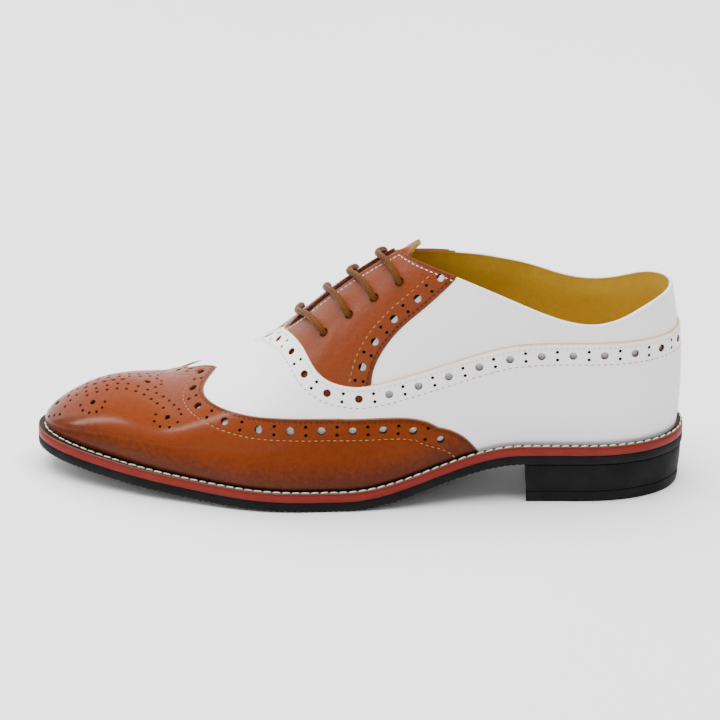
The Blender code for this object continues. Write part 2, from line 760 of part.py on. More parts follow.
def make_lace(name, path):
    ahead = np.gradient(path, axis=0)
    ahead /= np.linalg.norm(ahead, axis=1, keepdims=True)
    along = np.array([1.0, 0.0, 0.0])
    side = along - (ahead @ along)[:, None] * ahead
    side /= np.linalg.norm(side, axis=1, keepdims=True)
    other = np.cross(ahead, side)
    turn = np.arange(LACE_SIDES) * 2 * math.pi / LACE_SIDES
    ring = np.cos(turn)[None, :, None] * side[:, None] + np.sin(turn)[None, :, None] * other[:, None]
    points = (path[:, None] + LACE_RADIUS * ring).reshape(-1, 3)
    faces = []
    for i in range(len(path) - 1):
        for j in range(LACE_SIDES):
            a = i * LACE_SIDES + j
            b = i * LACE_SIDES + (j + 1) % LACE_SIDES
            faces.append((a, b, b + LACE_SIDES, a + LACE_SIDES))
    end = (len(path) - 1) * LACE_SIDES
    faces.append(tuple(range(LACE_SIDES))[::-1])
    faces.append(tuple(end + j for j in range(LACE_SIDES)))
    add_solid(name, points, faces, COLOURS["lace"])


def main():
    for old in list(bpy.data.objects):
        bpy.data.objects.remove(old, do_unlink=True)
    make_sole()
    make_heel()
    place, normal, faces, names, side = whole_skin()
    parts = (place, normal, faces)
    shell("upper", parts, np.ones(len(faces), bool), LAYERS["upper"], COLOURS["upper"])
    shell("vamp", parts, names == "vamp", LAYERS["vamp"], COLOURS["vamp"])
    shell("wing_cap", parts, names == "wing", LAYERS["wing"], COLOURS["wing_cap"])
    shell("facing_lateral", parts, (names == "facing") & (side > 0), LAYERS["facing"], COLOURS["facing_lateral"])
    shell("facing_medial", parts, (names == "facing") & (side < 0), LAYERS["facing"], COLOURS["facing_medial"])
    make_tongue()
    for number, (x, t) in enumerate(eyelet_places(), start=1):
        make_lace("lace_bar_%d" % number, lace_path(x, t))


main()
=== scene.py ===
# %% [markdown]
# # A two-tone wing-tip shoe, dressed piece by piece
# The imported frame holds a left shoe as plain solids. This lesson lays the visible shoe over
# them: leather panels with punched holes, rows of stitches, waxed laces, a lined tongue and a
# sole with a stitched welt. Every solid stays where it is; each piece made here rides on it.

# %% Load the fixed frame
import math

import bpy
import numpy as np
from mathutils import Matrix, Vector
from mathutils.geometry import delaunay_2d_cdt
from mathutils.kdtree import KDTree


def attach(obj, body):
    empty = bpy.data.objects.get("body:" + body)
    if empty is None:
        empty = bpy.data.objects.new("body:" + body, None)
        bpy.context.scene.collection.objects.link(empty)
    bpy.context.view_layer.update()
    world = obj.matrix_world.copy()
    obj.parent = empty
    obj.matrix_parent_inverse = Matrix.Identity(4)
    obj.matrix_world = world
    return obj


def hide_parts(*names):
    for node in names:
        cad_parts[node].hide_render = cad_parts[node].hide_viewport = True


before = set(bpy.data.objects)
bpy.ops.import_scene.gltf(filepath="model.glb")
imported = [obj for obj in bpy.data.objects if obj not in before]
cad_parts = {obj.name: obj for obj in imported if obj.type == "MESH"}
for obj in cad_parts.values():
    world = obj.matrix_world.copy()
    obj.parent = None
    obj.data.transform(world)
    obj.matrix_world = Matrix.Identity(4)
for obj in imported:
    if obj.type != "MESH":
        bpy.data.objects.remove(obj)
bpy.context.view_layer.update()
MM = 0.001

# %% [markdown]
# ## The last
# A shoemaker stretches leather over a last. A last is easiest to describe by cross-sections
# along its length, so one row below is one section: where its middle swings to, half its
# breadth, how high its widest line stands over the feather edge, how high its ridge stands over
# the floor, and how square it is. Smooth splines join the rows. The numbers repeat those of the
# solids, in millimetres from the heel, so that both share one surface.

# %% Sections of the last
LENGTH = 296.0
TUCK = 1.6
SECTION_COLUMNS = ("along", "centre", "half", "widest", "crest", "fullness")
SECTIONS = (
    (0.0, 0.0, 31.0, 26.0, 150.0, 2.10),
    (40.0, 0.0, 32.7, 26.0, 149.0, 2.20),
    (75.0, 2.0, 32.2, 24.0, 142.0, 2.30),
    (105.0, 4.4, 33.8, 21.0, 129.5, 2.15),
    (135.0, 5.3, 39.2, 18.0, 113.0, 2.00),
    (150.0, 4.4, 42.4, 17.0, 102.5, 1.95),
    (165.0, 3.1, 45.2, 16.0, 90.0, 1.95),
    (180.0, 1.8, 47.6, 15.5, 76.0, 1.95),
    (195.0, 0.5, 48.3, 15.0, 62.5, 2.00),
    (225.0, -1.0, 42.4, 14.0, 46.5, 2.10),
    (240.0, -1.5, 38.5, 13.3, 41.2, 1.95),
    (255.0, -2.0, 34.4, 12.0, 42.2, 1.95),
    (275.0, -2.7, 29.8, 8.0, 41.2, 2.00),
    (296.0, -3.5, 27.0, 2.5, 34.0, 2.10),
)
LEDGES = ((0.0, 1.6), (60.0, 1.6), (150.0, 1.7), (190.0, 1.8), (240.0, 2.2), (275.0, 3.2), (296.0, 4.0))
COLLAR = (
    (0.0, 97.5), (14.0, 94.0), (28.0, 89.0), (42.0, 87.0), (56.0, 89.5), (70.0, 95.0),
    (86.0, 102.0), (102.0, 108.3), (118.0, 113.0), (134.0, 116.0), (150.0, 118.0),
)


def natural_spline(xs, ys):
    """Natural cubic spline through the rows of a table."""
    xs = np.asarray(xs, float)
    ys = np.asarray(ys, float)
    step = np.diff(xs)
    count = len(xs)
    matrix = np.eye(count)
    right = np.zeros(count)
    for i in range(1, count - 1):
        matrix[i, i - 1:i + 2] = step[i - 1], 2 * (step[i - 1] + step[i]), step[i]
        right[i] = 6 * ((ys[i + 1] - ys[i]) / step[i] - (ys[i] - ys[i - 1]) / step[i - 1])
    bend = np.linalg.solve(matrix, right)

    def value(x):
        x = np.clip(np.asarray(x, float), xs[0], xs[-1])
        i = np.clip(np.searchsorted(xs, x) - 1, 0, count - 2)
        h = step[i]
        a = (xs[i + 1] - x) / h
        b = (x - xs[i]) / h
        curve = (a ** 3 - a) * bend[i] + (b ** 3 - b) * bend[i + 1]
        return a * ys[i] + b * ys[i + 1] + curve * h * h / 6

    return value


def columns(rows, names):
    """One spline per named column, over the first column."""
    table = np.array(rows, float)
    return {name: natural_spline(table[:, 0], table[:, i]) for i, name in enumerate(names)}


SHAPE = columns(SECTIONS, SECTION_COLUMNS)
LEDGE_AT = columns(LEDGES, ("along", "ledge"))["ledge"]
COLLAR_AT = columns(COLLAR, ("along", "height"))["height"]
print("ridge over the ball, mm:", round(float(SHAPE["crest"](195.0)), 1))

# %% [markdown]
# ## Finding a place on the last
# Two numbers name any place on the leather. q runs round the shoe from the toe (0) to the back
# of the heel (1), positive on the outer side and negative on the inner side. t climbs the wall:
# -1 at the sole, 0 at the widest line, 1 on the ridge. Working in q and t keeps seams, holes and
# stitches on the surface whatever its shape. On the inner side the big toe joint lies further
# forward, so places there are led a little ahead and down, and the pattern goes with them.

# %% Surface of the last
TOE_ROUND = (232.0, 2.6)
HEEL_ROUND = (48.0, 2.4)
ROUND_ROOT = 2.1
RIDGE_FAN = (190.0, 46.0)
HEEL_FAN = (90.0, 42.0)
OUTSOLE_THICK = 4.8
MIDSOLE_THICK = 3.7
GAP = 0.3
TOE_SPRING = (172.0, 10.5, 1.7)
WAIST_START = 155.0
HEEL_BREAST = 73.0
HEEL_HEIGHT = 19.0


def half_breadth(x):
    toe = np.clip((x - TOE_ROUND[0]) / (LENGTH - TOE_ROUND[0]), 0, 1)
    heel = np.clip((HEEL_ROUND[0] - x) / HEEL_ROUND[0], 0, 1)
    front = (1 - toe ** TOE_ROUND[1]) ** (1 / ROUND_ROOT)
    back = (1 - heel ** HEEL_ROUND[1]) ** (1 / ROUND_ROOT)
    return SHAPE["half"](x) * front * back


def flat_travel(u, v):
    """Distance gone at each point of a flat line."""
    return np.concatenate([[0], np.cumsum(np.hypot(np.diff(u), np.diff(v)))])


def travel(path):
    """Distance gone at each point of a path in space."""
    return np.concatenate([[0], np.cumsum(np.linalg.norm(np.diff(path, axis=0), axis=1))])


WALK_X = LENGTH * (1 + np.cos(np.linspace(0, math.pi, 2001))) / 2
WALK = flat_travel(WALK_X, half_breadth(WALK_X))
WALK = WALK / WALK[-1]


def station(q):
    """Distance from the heel for a share q of the way round."""
    return np.interp(np.abs(q), WALK, WALK_X)


def round_share(x):
    return np.interp(-np.asarray(x, float), -WALK_X, WALK)


def smooth(u):
    u = np.clip(u, 0, 1)
    return u * u * (3 - 2 * u)


def tread(x):
    """Height of the walking surface: sprung toe, flat ball, waist rising to the heel seat."""
    start, lift, power = TOE_SPRING
    spring = np.clip((x - start) / (LENGTH - start), 0, 1) ** power
    seat = smooth((WAIST_START - x) / (WAIST_START - HEEL_BREAST))
    return lift * spring + HEEL_HEIGHT * seat


def feather(x):
    return tread(x) + OUTSOLE_THICK + MIDSOLE_THICK + 2 * GAP


def ridge_foot(x):
    """Ridge station that a wall column leans to; the columns fan in at the toe and heel."""
    toe = np.clip((x - RIDGE_FAN[0]) / (LENGTH - RIDGE_FAN[0]), 0, 1)
    heel = np.clip((HEEL_FAN[0] - x) / HEEL_FAN[0], 0, 1)
    return x - RIDGE_FAN[1] * toe ** 2 + HEEL_FAN[1] * heel ** 2


def widest_line(q):
    x = station(q)
    return x, SHAPE["centre"](x) + np.sign(q) * half_breadth(x)


INNER_LEAD, INNER_DROP = 12.0 / 350.0, 8.0 / 88.0
INNER_FRONT, INNER_BACK = (262.0, 224.0), (175.0, 60.0)
INNER_ASIDE, INNER_FOOT = 0.17, 0.5


def lead_inner(q, t):
    """Leads places of the inner side ahead and down at the vamp; the outer side stays."""
    starts, full = round_share(INNER_FRONT)
    fades, gone = round_share(INNER_BACK)
    share = np.abs(q)
    along = smooth((share - starts) / (full - starts)) * smooth((gone - share) / (gone - fades))
    move = np.where(q < 0, along * smooth((1 - t) / INNER_ASIDE), 0.0)
    return q + INNER_LEAD * move, t - INNER_DROP * move * smooth(t / INNER_FOOT)


def skin(q, t):
    """Point of the last at q round the shoe and t up the wall."""
    q, t = np.broadcast_arrays(np.asarray(q, float), np.asarray(t, float))
    q, t = lead_inner(q, t)
    x, y = widest_line(q)
    foot = ridge_foot(x)
    middle = SHAPE["centre"](foot)
    reach = np.hypot(x - foot, y - middle) + 1e-9
    power = 2 / SHAPE["fullness"](x)
    angle = np.clip(t, 0, 1) * math.pi / 2
    low = np.clip(-t, 0, 1)
    inward = np.where(t >= 0, np.cos(angle) ** power, 1 - TUCK / reach * low ** 2)
    inward = np.where(t >= 1, 0.0, inward)
    px = foot + inward * (x - foot)
    py = middle + inward * (y - middle)
    wide = feather(x) + SHAPE["widest"](x)
    above = wide + (SHAPE["crest"](px) - wide) * np.sin(angle) ** power
    below = wide - SHAPE["widest"](x) * low
    return np.stack([px, py, np.where(t >= 0, above, below)], axis=-1)


SOLE_EDGE_X = skin(np.array([0.0, 1.0]), 0.0)[:, 0] + np.array([LEDGE_AT(LENGTH), -LEDGE_AT(0.0)])
print("sole runs from", np.round(SOLE_EDGE_X[::-1], 1), "mm")

# %% Slopes and normals of the last
STEP = 0.002
TOP_LIMIT = 0.965


def skin_slopes(q, t):
    """Surface directions round and up the wall."""
    t = np.clip(t, -1 + STEP, TOP_LIMIT)
    q = np.clip(q, -1 + STEP, 1 - STEP)
    side = np.where(q >= 0, 1.0, -1.0)
    near = np.where(np.abs(q) < STEP, side * STEP, q)
    round_way = (skin(near + STEP, t) - skin(near - STEP, t)) / (2 * STEP)
    up_way = (skin(q, t + STEP) - skin(q, t - STEP)) / (2 * STEP)
    return round_way, up_way


def unit(v):
    return v / np.maximum(np.linalg.norm(v, axis=-1, keepdims=True), 1e-12)


def skin_normal(q, t):
    """Outward normal; level at the feather edge so that every layer stands flush there."""
    round_way, up_way = skin_slopes(q, t)
    normal = np.cross(round_way, up_way)
    normal[..., 2] = np.where(np.asarray(t) <= -0.999, 0.0, normal[..., 2])
    return unit(normal)


def on_join(q, t):
    """Places where the two sides of the shoe meet."""
    return (np.abs(q) < 1e-9) | (np.abs(q) > 1 - 1e-9) | (t > 1 - 1e-9)


def outward(q, t):
    """Normal, the mean of both sides where they meet."""
    q, t = np.broadcast_arrays(np.asarray(q, float), np.asarray(t, float))
    far = np.maximum(np.abs(q), 1e-6)
    mean = unit(skin_normal(far, t) + skin_normal(-far, t))
    return np.where(on_join(q, t)[..., None], mean, skin_normal(q, t))


print("normal at the ball:", np.round(outward(0.35, 0.3), 2))

# %% [markdown]
# ## Creases
# Worn or laced leather pulls between the eyelets and the seams. Each row below is one soft fold:
# where it lies, how long and wide it is, which way it runs, and how far it sinks
# (minus) or swells. A Gaussian hollow has no hard border, so a fold fades into the panel.

# %% Folds, listed
NET_ALONG = 350.0
NET_RISE = 88.0
NET_LOW = 21.0
FOLDS = (
    # station, rise, half length, half width, turn in degrees, depth, side (0 for both)
    (160.0, 0.555, 13.0, 3.6, 62.0, -0.24, 0),
    (163.5, 0.545, 12.0, 3.8, 66.0, 0.20, 0),
    (148.0, 0.560, 11.0, 2.6, 20.0, -0.14, 1),
    (141.0, 0.585, 10.0, 2.4, 28.0, 0.13, 1),
    (133.5, 0.590, 9.0, 2.4, 15.0, -0.12, 0),
    (151.0, 0.610, 8.0, 2.2, 35.0, 0.11, -1),
    (196.0, 0.830, 15.0, 5.0, 90.0, -0.30, 0),
    (203.0, 0.800, 16.0, 5.0, 86.0, 0.22, 0),
    (187.0, 0.060, 12.0, 3.6, 25.0, -0.22, 1),
    (176.0, 0.090, 12.0, 3.4, 18.0, 0.18, 1),
    (84.0, 0.330, 14.0, 6.0, 40.0, -0.35, 0),
    (70.0, 0.250, 16.0, 6.0, 30.0, 0.30, 0),
)


def net_height(t):
    """Height on the flat net, near the true length of the wall above and below its widest line."""
    return np.where(np.asarray(t) >= 0, np.asarray(t) * NET_RISE, np.asarray(t) * NET_LOW)


def crease(q, t):
    """How far the leather swells or sinks, in mm."""
    u = np.abs(q) * NET_ALONG
    v = net_height(t)
    swell = np.zeros(np.broadcast(u, v).shape)
    for along, rise, length, width, turn, depth, side in FOLDS:
        du = u - round_share(along) * NET_ALONG
        dv = v - rise * NET_RISE
        c, s = math.cos(math.radians(turn)), math.sin(math.radians(turn))
        shape = np.exp(-((du * c + dv * s) / length) ** 2 - ((dv * c - du * s) / width) ** 2)
        swell = swell + depth * shape * np.where(side * np.sign(q) >= 0, 1.0, 0.0)
    return swell


def place(q, t, lift):
    """Points of a layer that stands a lift above the last, creases included."""
    q, t = np.broadcast_arrays(np.asarray(q, float), np.asarray(t, float))
    swell = np.where(on_join(q, t), 0.5 * (crease(q, t) + crease(-q, t)), crease(q, t))
    return skin(q, t) + (lift + swell)[..., None] * outward(q, t)


def shading_normal(q, t):
    """Normal of the creased leather, for smooth reflections on uneven triangles."""
    normal = outward(q, t)
    along, up = skin_slopes(q, t)
    dq = (crease(q + STEP, t) - crease(q - STEP, t)) / (2 * STEP)
    dt = (crease(q, t + STEP) - crease(q, t - STEP)) / (2 * STEP)
    aa, uu, au = (along * along).sum(-1), (up * up).sum(-1), (along * up).sum(-1)
    det = aa * uu - au * au + 1e-9
    tilt = ((dq * uu - dt * au) / det)[..., None] * along + ((dt * aa - dq * au) / det)[..., None] * up
    return np.where(on_join(q, t)[..., None], normal, unit(normal - tilt))


CROWN_DULL, UNDERCUT_SHINE = 0.62, 0.35


def polish(normal):
    """Share of shine: most on the shoulders, less on the top, some on the undercut over the welt."""
    rise = normal[..., 2]
    shoulder, crown = smooth((rise - 0.1) / 0.3), smooth((rise - 0.62) / 0.28)
    return shoulder * (1 - CROWN_DULL * crown) + UNDERCUT_SHINE * smooth(-rise / 0.22)


print("folds:", len(FOLDS))

# %% [markdown]
# ## Seam lines and the flat net
# A pattern cutter draws the panels flat. The net does the same: q becomes millimetres along and
# t becomes millimetres up. Seams are smooth curves through a few listed knots, walked in
# even steps, and a row of stitches is the seam moved sideways over the surface.

# %% Seams drawn on the net
THROAT = 183.0
THROAT_OPEN = 6.0
THROAT_GAPS = (3.0, 4.6)
THROAT_WIDENS = 50.0
COLLAR_MEETS = (110.0, 150.0)
CORNER_SOFT = 0.035
WING_EDGE = (
    (220.0, 1.0), (224.7, 0.77), (218.0, 0.56), (204.0, 0.40), (191.0, 0.315), (172.5, 0.23),
    (154.0, 0.175), (135.5, 0.12), (119.0, 0.045), (107.0, -0.2), (99.0, -0.6), (93.5, -1.0),
)
VAMP_EDGE = (
    (184.8, 1.0), (181.3, 0.86), (174.1, 0.62), (168.8, 0.467), (163.6, 0.386), (155.9, 0.324),
    (143.1, 0.272), (133.0, 0.248), (119.4, 0.218), (90.0, 0.165), (60.0, 0.145), (30.0, 0.145),
    (0.0, 0.15),
)
FACING_EDGE = (
    (143.4, 0.273), (142.2, 0.335), (138.3, 0.393), (130.8, 0.443), (119.9, 0.475), (110.0, 0.51),
    (103.0, 0.56), (100.5, 0.66),
)
FACING_TUCKED = (146.0, 0.14)


def to_net(q, t):
    return np.column_stack([np.asarray(q) * NET_ALONG, net_height(t)])


def from_net(flat):
    v = flat[:, 1]
    return flat[:, 0] / NET_ALONG, np.where(v >= 0, v / NET_RISE, v / NET_LOW)


def walk(rows, step):
    """Even steps along the smooth curve through the knots, on the flat net."""
    knots = np.array(rows, float)
    flat = to_net(round_share(knots[:, 0]), knots[:, 1])
    gone = flat_travel(*flat.T)
    fine = np.linspace(0, gone[-1], 900)
    u = natural_spline(gone, flat[:, 0])(fine)
    v = natural_spline(gone, flat[:, 1])(fine)
    true = flat_travel(u, v)
    even = np.linspace(0, true[-1], max(2, round(true[-1] / step) + 1))
    return np.column_stack([np.interp(even, true, u), np.interp(even, true, v)])


def rise_of_gap(x, gap):
    """Rise at which the wall is a given distance from the centre line."""
    share = np.clip(gap / np.maximum(half_breadth(x), 0.1), 0, 1) ** (SHAPE["fullness"](x) / 2)
    return np.arccos(share) * 2 / math.pi


def rise_of_height(x, height):
    wide = feather(x) + SHAPE["widest"](x)
    share = np.clip((height - wide) / (SHAPE["crest"](ridge_foot(x)) - wide), 0, 1)
    return np.arcsin(share ** (SHAPE["fullness"](x) / 2)) * 2 / math.pi


def top_rise(x):
    """Upper limit of the wall: the ridge, then the throat edge, then the collar."""
    opening = np.clip((THROAT - x) / THROAT_OPEN, 0, 1) ** 0.5
    widening = np.clip((THROAT - x) / THROAT_WIDENS, 0, 1)
    slit = rise_of_gap(x, opening * (THROAT_GAPS[0] + (THROAT_GAPS[1] - THROAT_GAPS[0]) * widening))
    collar = rise_of_height(x, COLLAR_AT(x))
    both = np.minimum(slit, collar) - CORNER_SOFT * np.exp(-np.abs(slit - collar) / CORNER_SOFT) / 2
    joined = np.where(x < COLLAR_MEETS[0], collar, both)
    return np.where(x >= THROAT, 1.0, np.where(x > COLLAR_MEETS[1], slit, joined))


SEAM_STEP = 1.3
wing_seam = walk(WING_EDGE, SEAM_STEP)
vamp_seam = walk(VAMP_EDGE, SEAM_STEP)
facing_seam = walk(FACING_EDGE, SEAM_STEP)
wing_seam[0, 1], wing_seam[-1, 1] = NET_RISE, -NET_LOW
vamp_seam[0, 1], vamp_seam[-1, 0] = NET_RISE, NET_ALONG
top_shares = np.linspace(round_share(THROAT), 1.0, 240)
top_line = to_net(top_shares, top_rise(station(top_shares)))
top_line[0, 1] = NET_RISE
facing_seam[0] = vamp_seam[np.argmin(np.linalg.norm(vamp_seam - facing_seam[0], axis=1))]
facing_q, facing_t = from_net(facing_seam)
under_top = np.flatnonzero(facing_t < top_rise(station(facing_q)) - 0.012)
facing_seam = facing_seam[:under_top[-1] + 1]
facing_top = int(np.argmin(np.linalg.norm(top_line - facing_seam[-1], axis=1)))
facing_seam = np.vstack([facing_seam, top_line[facing_top]])
print("seam points: wing", len(wing_seam), "vamp", len(vamp_seam), "facing", len(facing_seam))

# %% Rows beside a seam
SIDE_STEP = 1.5


def over_surface(q, t, push):
    """Moves places over the surface by a small step given in space."""
    along, up = skin_slopes(q, t)
    aa, uu, au = (along * along).sum(-1), (up * up).sum(-1), (along * up).sum(-1)
    pa, pu = (push * along).sum(-1), (push * up).sum(-1)
    det = aa * uu - au * au + 1e-9
    return q + (pa * uu - pu * au) / det, t + (pu * aa - pa * au) / det


def beside(line, distance, hand):
    """The seam moved sideways over the surface; hand 1 goes to its left seen from outside."""
    q, t = from_net(line)
    steps = max(1, math.ceil(abs(distance) / SIDE_STEP))
    for _ in range(steps):
        way = unit(np.gradient(skin(q, np.minimum(t, 1.0)), axis=0))
        left = np.cross(skin_normal(q, np.minimum(t, 1.0)), way)
        q, t = over_surface(q, t, unit(left) * hand * distance / steps)
        q[1:-1] = 0.25 * q[:-2] + 0.5 * q[1:-1] + 0.25 * q[2:]
        t[1:-1] = 0.25 * t[:-2] + 0.5 * t[1:-1] + 0.25 * t[2:]
    keep = (t < 0.999) & (t > -0.999) & (q > 0.0005) & (q < 0.9995)
    return q[keep], t[keep]


def to_ridge(q, t):
    """Carries the front end of a row on to the ridge."""
    dq, dt = q[0] - q[1], t[0] - t[1]
    share = (1.0 - t[0]) / dt if dt > 1e-6 else 0.0
    return np.concatenate([[q[0] + share * dq], q]), np.concatenate([[1.0], t])


def ridge_row(seam, distance):
    """Row a distance inside a seam, carried on to the ridge."""
    return to_ridge(*beside(seam, distance, -1))


def measured(q, t, spots):
    """Places at given distances along a row, in true millimetres."""
    path = skin(q, t)
    gone = travel(path)
    spots = np.asarray(spots)
    spots = spots[(spots >= 0) & (spots <= gone[-1])]
    return np.interp(spots, gone, q), np.interp(spots, gone, t)


def row_length(q, t):
    return float(np.linalg.norm(np.diff(skin(q, t), axis=0), axis=1).sum())


print("wing seam, mm:", round(row_length(*from_net(wing_seam))))

# %% [markdown]
# ## Punched holes
# Brogue holes are punched in rows beside the seams, a large hole and then a pair of small ones,
# and a medallion of both sizes decorates the toe. The rows follow the seams; the medallion is
# drawn as a few short curves and two rings in plan, because that is how a punch pattern is laid
# out on paper. Real holes are cut in the panels further down, so that light falls into them.

# %% Hole rows
BIG, SMALL = 1.85, 0.8
TOE_BIG, TOE_SMALL = 1.35, 0.72
ROW_INSET = 5.3
PAIR_HALF = 1.9
PEAK_FORWARD = 1.8
LOWEST_HOLE, LAST_HOLE = -0.7, 0.985
WING_SPOTS = (0.0, 14.6, 30.0, 48.0, 65.0, 79.7, 94.1, 108.4, 122.4, 136.5, 150.6)
VAMP_SPOTS = (6.9, 24.7, 40.0, 54.4, 69.4, 83.5, 97.5, 112.0, 126.6, 141.1, 155.7, 170.2, 184.7, 199.3,
              213.8, 228.3)
FACING_SPOTS = (12.3, 25.5, 38.6, 52.3, 66.6, 80.8)


def hole_row(row, spots):
    """Large holes at given millimetres along a row, with a pair of small ones between each two."""
    spots = np.array(spots)
    holes = [(q, t, BIG) for q, t in zip(*measured(*row, spots))]
    middle = 0.5 * (spots[1:] + spots[:-1])
    q, t = measured(*row, middle)
    before, after = skin(*measured(*row, middle - 0.5)), skin(*measured(*row, middle + 0.5))
    sideways = np.cross(skin_normal(q, t), unit(after - before))
    for hand in (-PAIR_HALF, PAIR_HALF):
        holes += [(a, b, SMALL) for a, b in zip(*over_surface(q, t, hand * sideways))]
    return holes


wing_row, vamp_row = ridge_row(wing_seam, ROW_INSET), ridge_row(vamp_seam, ROW_INSET)
wing_holes = [h for h in hole_row(wing_row, WING_SPOTS)[1:] if h[1] > LOWEST_HOLE]
vamp_holes = [h for h in hole_row(vamp_row, VAMP_SPOTS) if h[0] < LAST_HOLE]
facing_long = np.vstack([walk((FACING_TUCKED, FACING_EDGE[0]), SEAM_STEP)[:-1], facing_seam])
print("holes a side: wing", len(wing_holes), "vamp", len(vamp_holes))

# %% Toe medallion
MEDALLION_CURVES = (
    # how many small holes lie on a curve, and its knots in plan
    (10, ((276.0, 7.8), (267.0, 8.0), (258.7, 8.4), (250.0, 11.9), (239.6, 22.2))),
    (12, ((276.8, 4.4), (268.1, 4.7), (259.2, 3.9), (250.9, 6.5), (242.9, 11.0), (237.2, 17.6), (231.9, 26.0))),
    (2, ((244.4, 5.0), (242.0, 2.0))),
    (3, ((281.2, 3.6), (284.2, 5.7), (286.4, 8.2))),
    (3, ((288.5, 10.9), (291.6, 8.6), (293.9, 6.2))),
)
MEDALLION_RINGS = (
    # middle in plan, reach, first and last angle, how many small holes
    (272.9, 13.9, 6.4, 25.0, 190.0, 6),
    (237.2, 28.7, 6.6, -10.0, 190.0, 6),
)
lookup_q, lookup_t = [a.ravel() for a in np.meshgrid(np.linspace(0.0, 0.45, 700), np.linspace(0, 1, 260))]
lookup_plan = skin(lookup_q, lookup_t)[:, :2]


def laid_on(x, across):
    """Place on the outer side that lies under a point of the paper pattern."""
    spot = np.array([x, SHAPE["centre"](x) + across])
    best = np.argmin(((lookup_plan - spot) ** 2).sum(axis=1))
    return lookup_q[best], lookup_t[best]


def curve_of_holes(count, knots):
    """Small holes in even steps along a curve."""
    knots = np.array(knots, float)
    gone = flat_travel(*knots.T)
    at = np.linspace(0, gone[-1], count)
    xs, ys = natural_spline(gone, knots[:, 0])(at), natural_spline(gone, knots[:, 1])(at)
    return [(*laid_on(x, y), TOE_SMALL) for x, y in zip(xs, ys)]


def ring_of_holes(x, across, reach, first, last, count):
    """A large hole with small ones round it; angles in degrees from the toe outwards."""
    q, t = laid_on(x, across)
    along, _ = skin_slopes(q, t)
    ahead = -unit(along)
    out = -np.cross(skin_normal(q, t), -ahead)
    holes = [(q, t, TOE_BIG)]
    for turn in np.radians(np.linspace(first, last, count)):
        push = reach * (math.cos(turn) * ahead + math.sin(turn) * out)
        holes.append((*over_surface(q, t, push), TOE_SMALL))
    return holes


medallion = [hole for row in MEDALLION_CURVES for hole in curve_of_holes(*row)]
medallion += [hole for row in MEDALLION_RINGS for hole in ring_of_holes(*row)]
CENTRE_HOLES = ((290.6, TOE_BIG), (285.2, TOE_SMALL), (277.2, TOE_SMALL), (272.9, TOE_SMALL),
                (268.6, TOE_SMALL), (264.3, TOE_SMALL), (260.0, TOE_SMALL), (248.4, TOE_BIG))
print("medallion holes a side:", len(medallion), "on the centre line:", len(CENTRE_HOLES))

# %% [markdown]
# ## Cutting a panel
# A Boolean cut of hundreds of cylinders would be slow and would leave untidy faces. Instead the
# outline, the seam rows and every hole are drawn as lines on the flat net, a constrained
# Delaunay triangulation fills what is left, and the triangles are then laid on the last. One
# half is cut and mirrored; holes on the centre line are half circles bitten out of its border.

# %% Triangles on the net
PLAIN, EDGE, HOLE, FOOT = 0, 1, 2, 3
LIP = 0.38
RIM_ROW = 0.45
GRID_RISE, GRID_CLEAR, WELD = 0.87, 0.6, 0.002
HOLE_SIDES = {BIG: 16, SMALL: 10, TOE_BIG: 12, TOE_SMALL: 10}


def inside(points, polygon):
    """Which flat points lie inside a closed polygon."""
    x, y = points[:, 0], points[:, 1]
    found = np.zeros(len(points), bool)
    previous = polygon[-1]
    for corner in polygon:
        crosses = (corner[1] > y) != (previous[1] > y)
        rise = previous[1] - corner[1]
        at = corner[0] + (y - corner[1]) * (previous[0] - corner[0]) / (rise if rise else 1.0)
        found ^= crosses & (x < at)
        previous = corner
    return found


def settle(target, q, t):
    """Places on the last nearest to points in space, from a first guess."""
    for _ in range(5):
        q, t = over_surface(q, t, target - skin(q, np.clip(t, -1, 1)))
        q, t = np.clip(q, 0.0, 1.0), np.clip(t, -1.0, 1.0)
    return q, t


def hole_loop(q, t, radius, sides):
    """Loop on the net that becomes a round hole on the surface."""
    along, _ = skin_slopes(q, t)
    first = unit(along)
    second = np.cross(skin_normal(q, t), first)
    turn = (np.arange(sides) * 2 * math.pi / sides)[:, None]
    target = skin(q, t) + radius * (np.cos(turn) * first + np.sin(turn) * second)
    start = np.full(sides, q), np.full(sides, t)
    return to_net(*settle(target, *start))


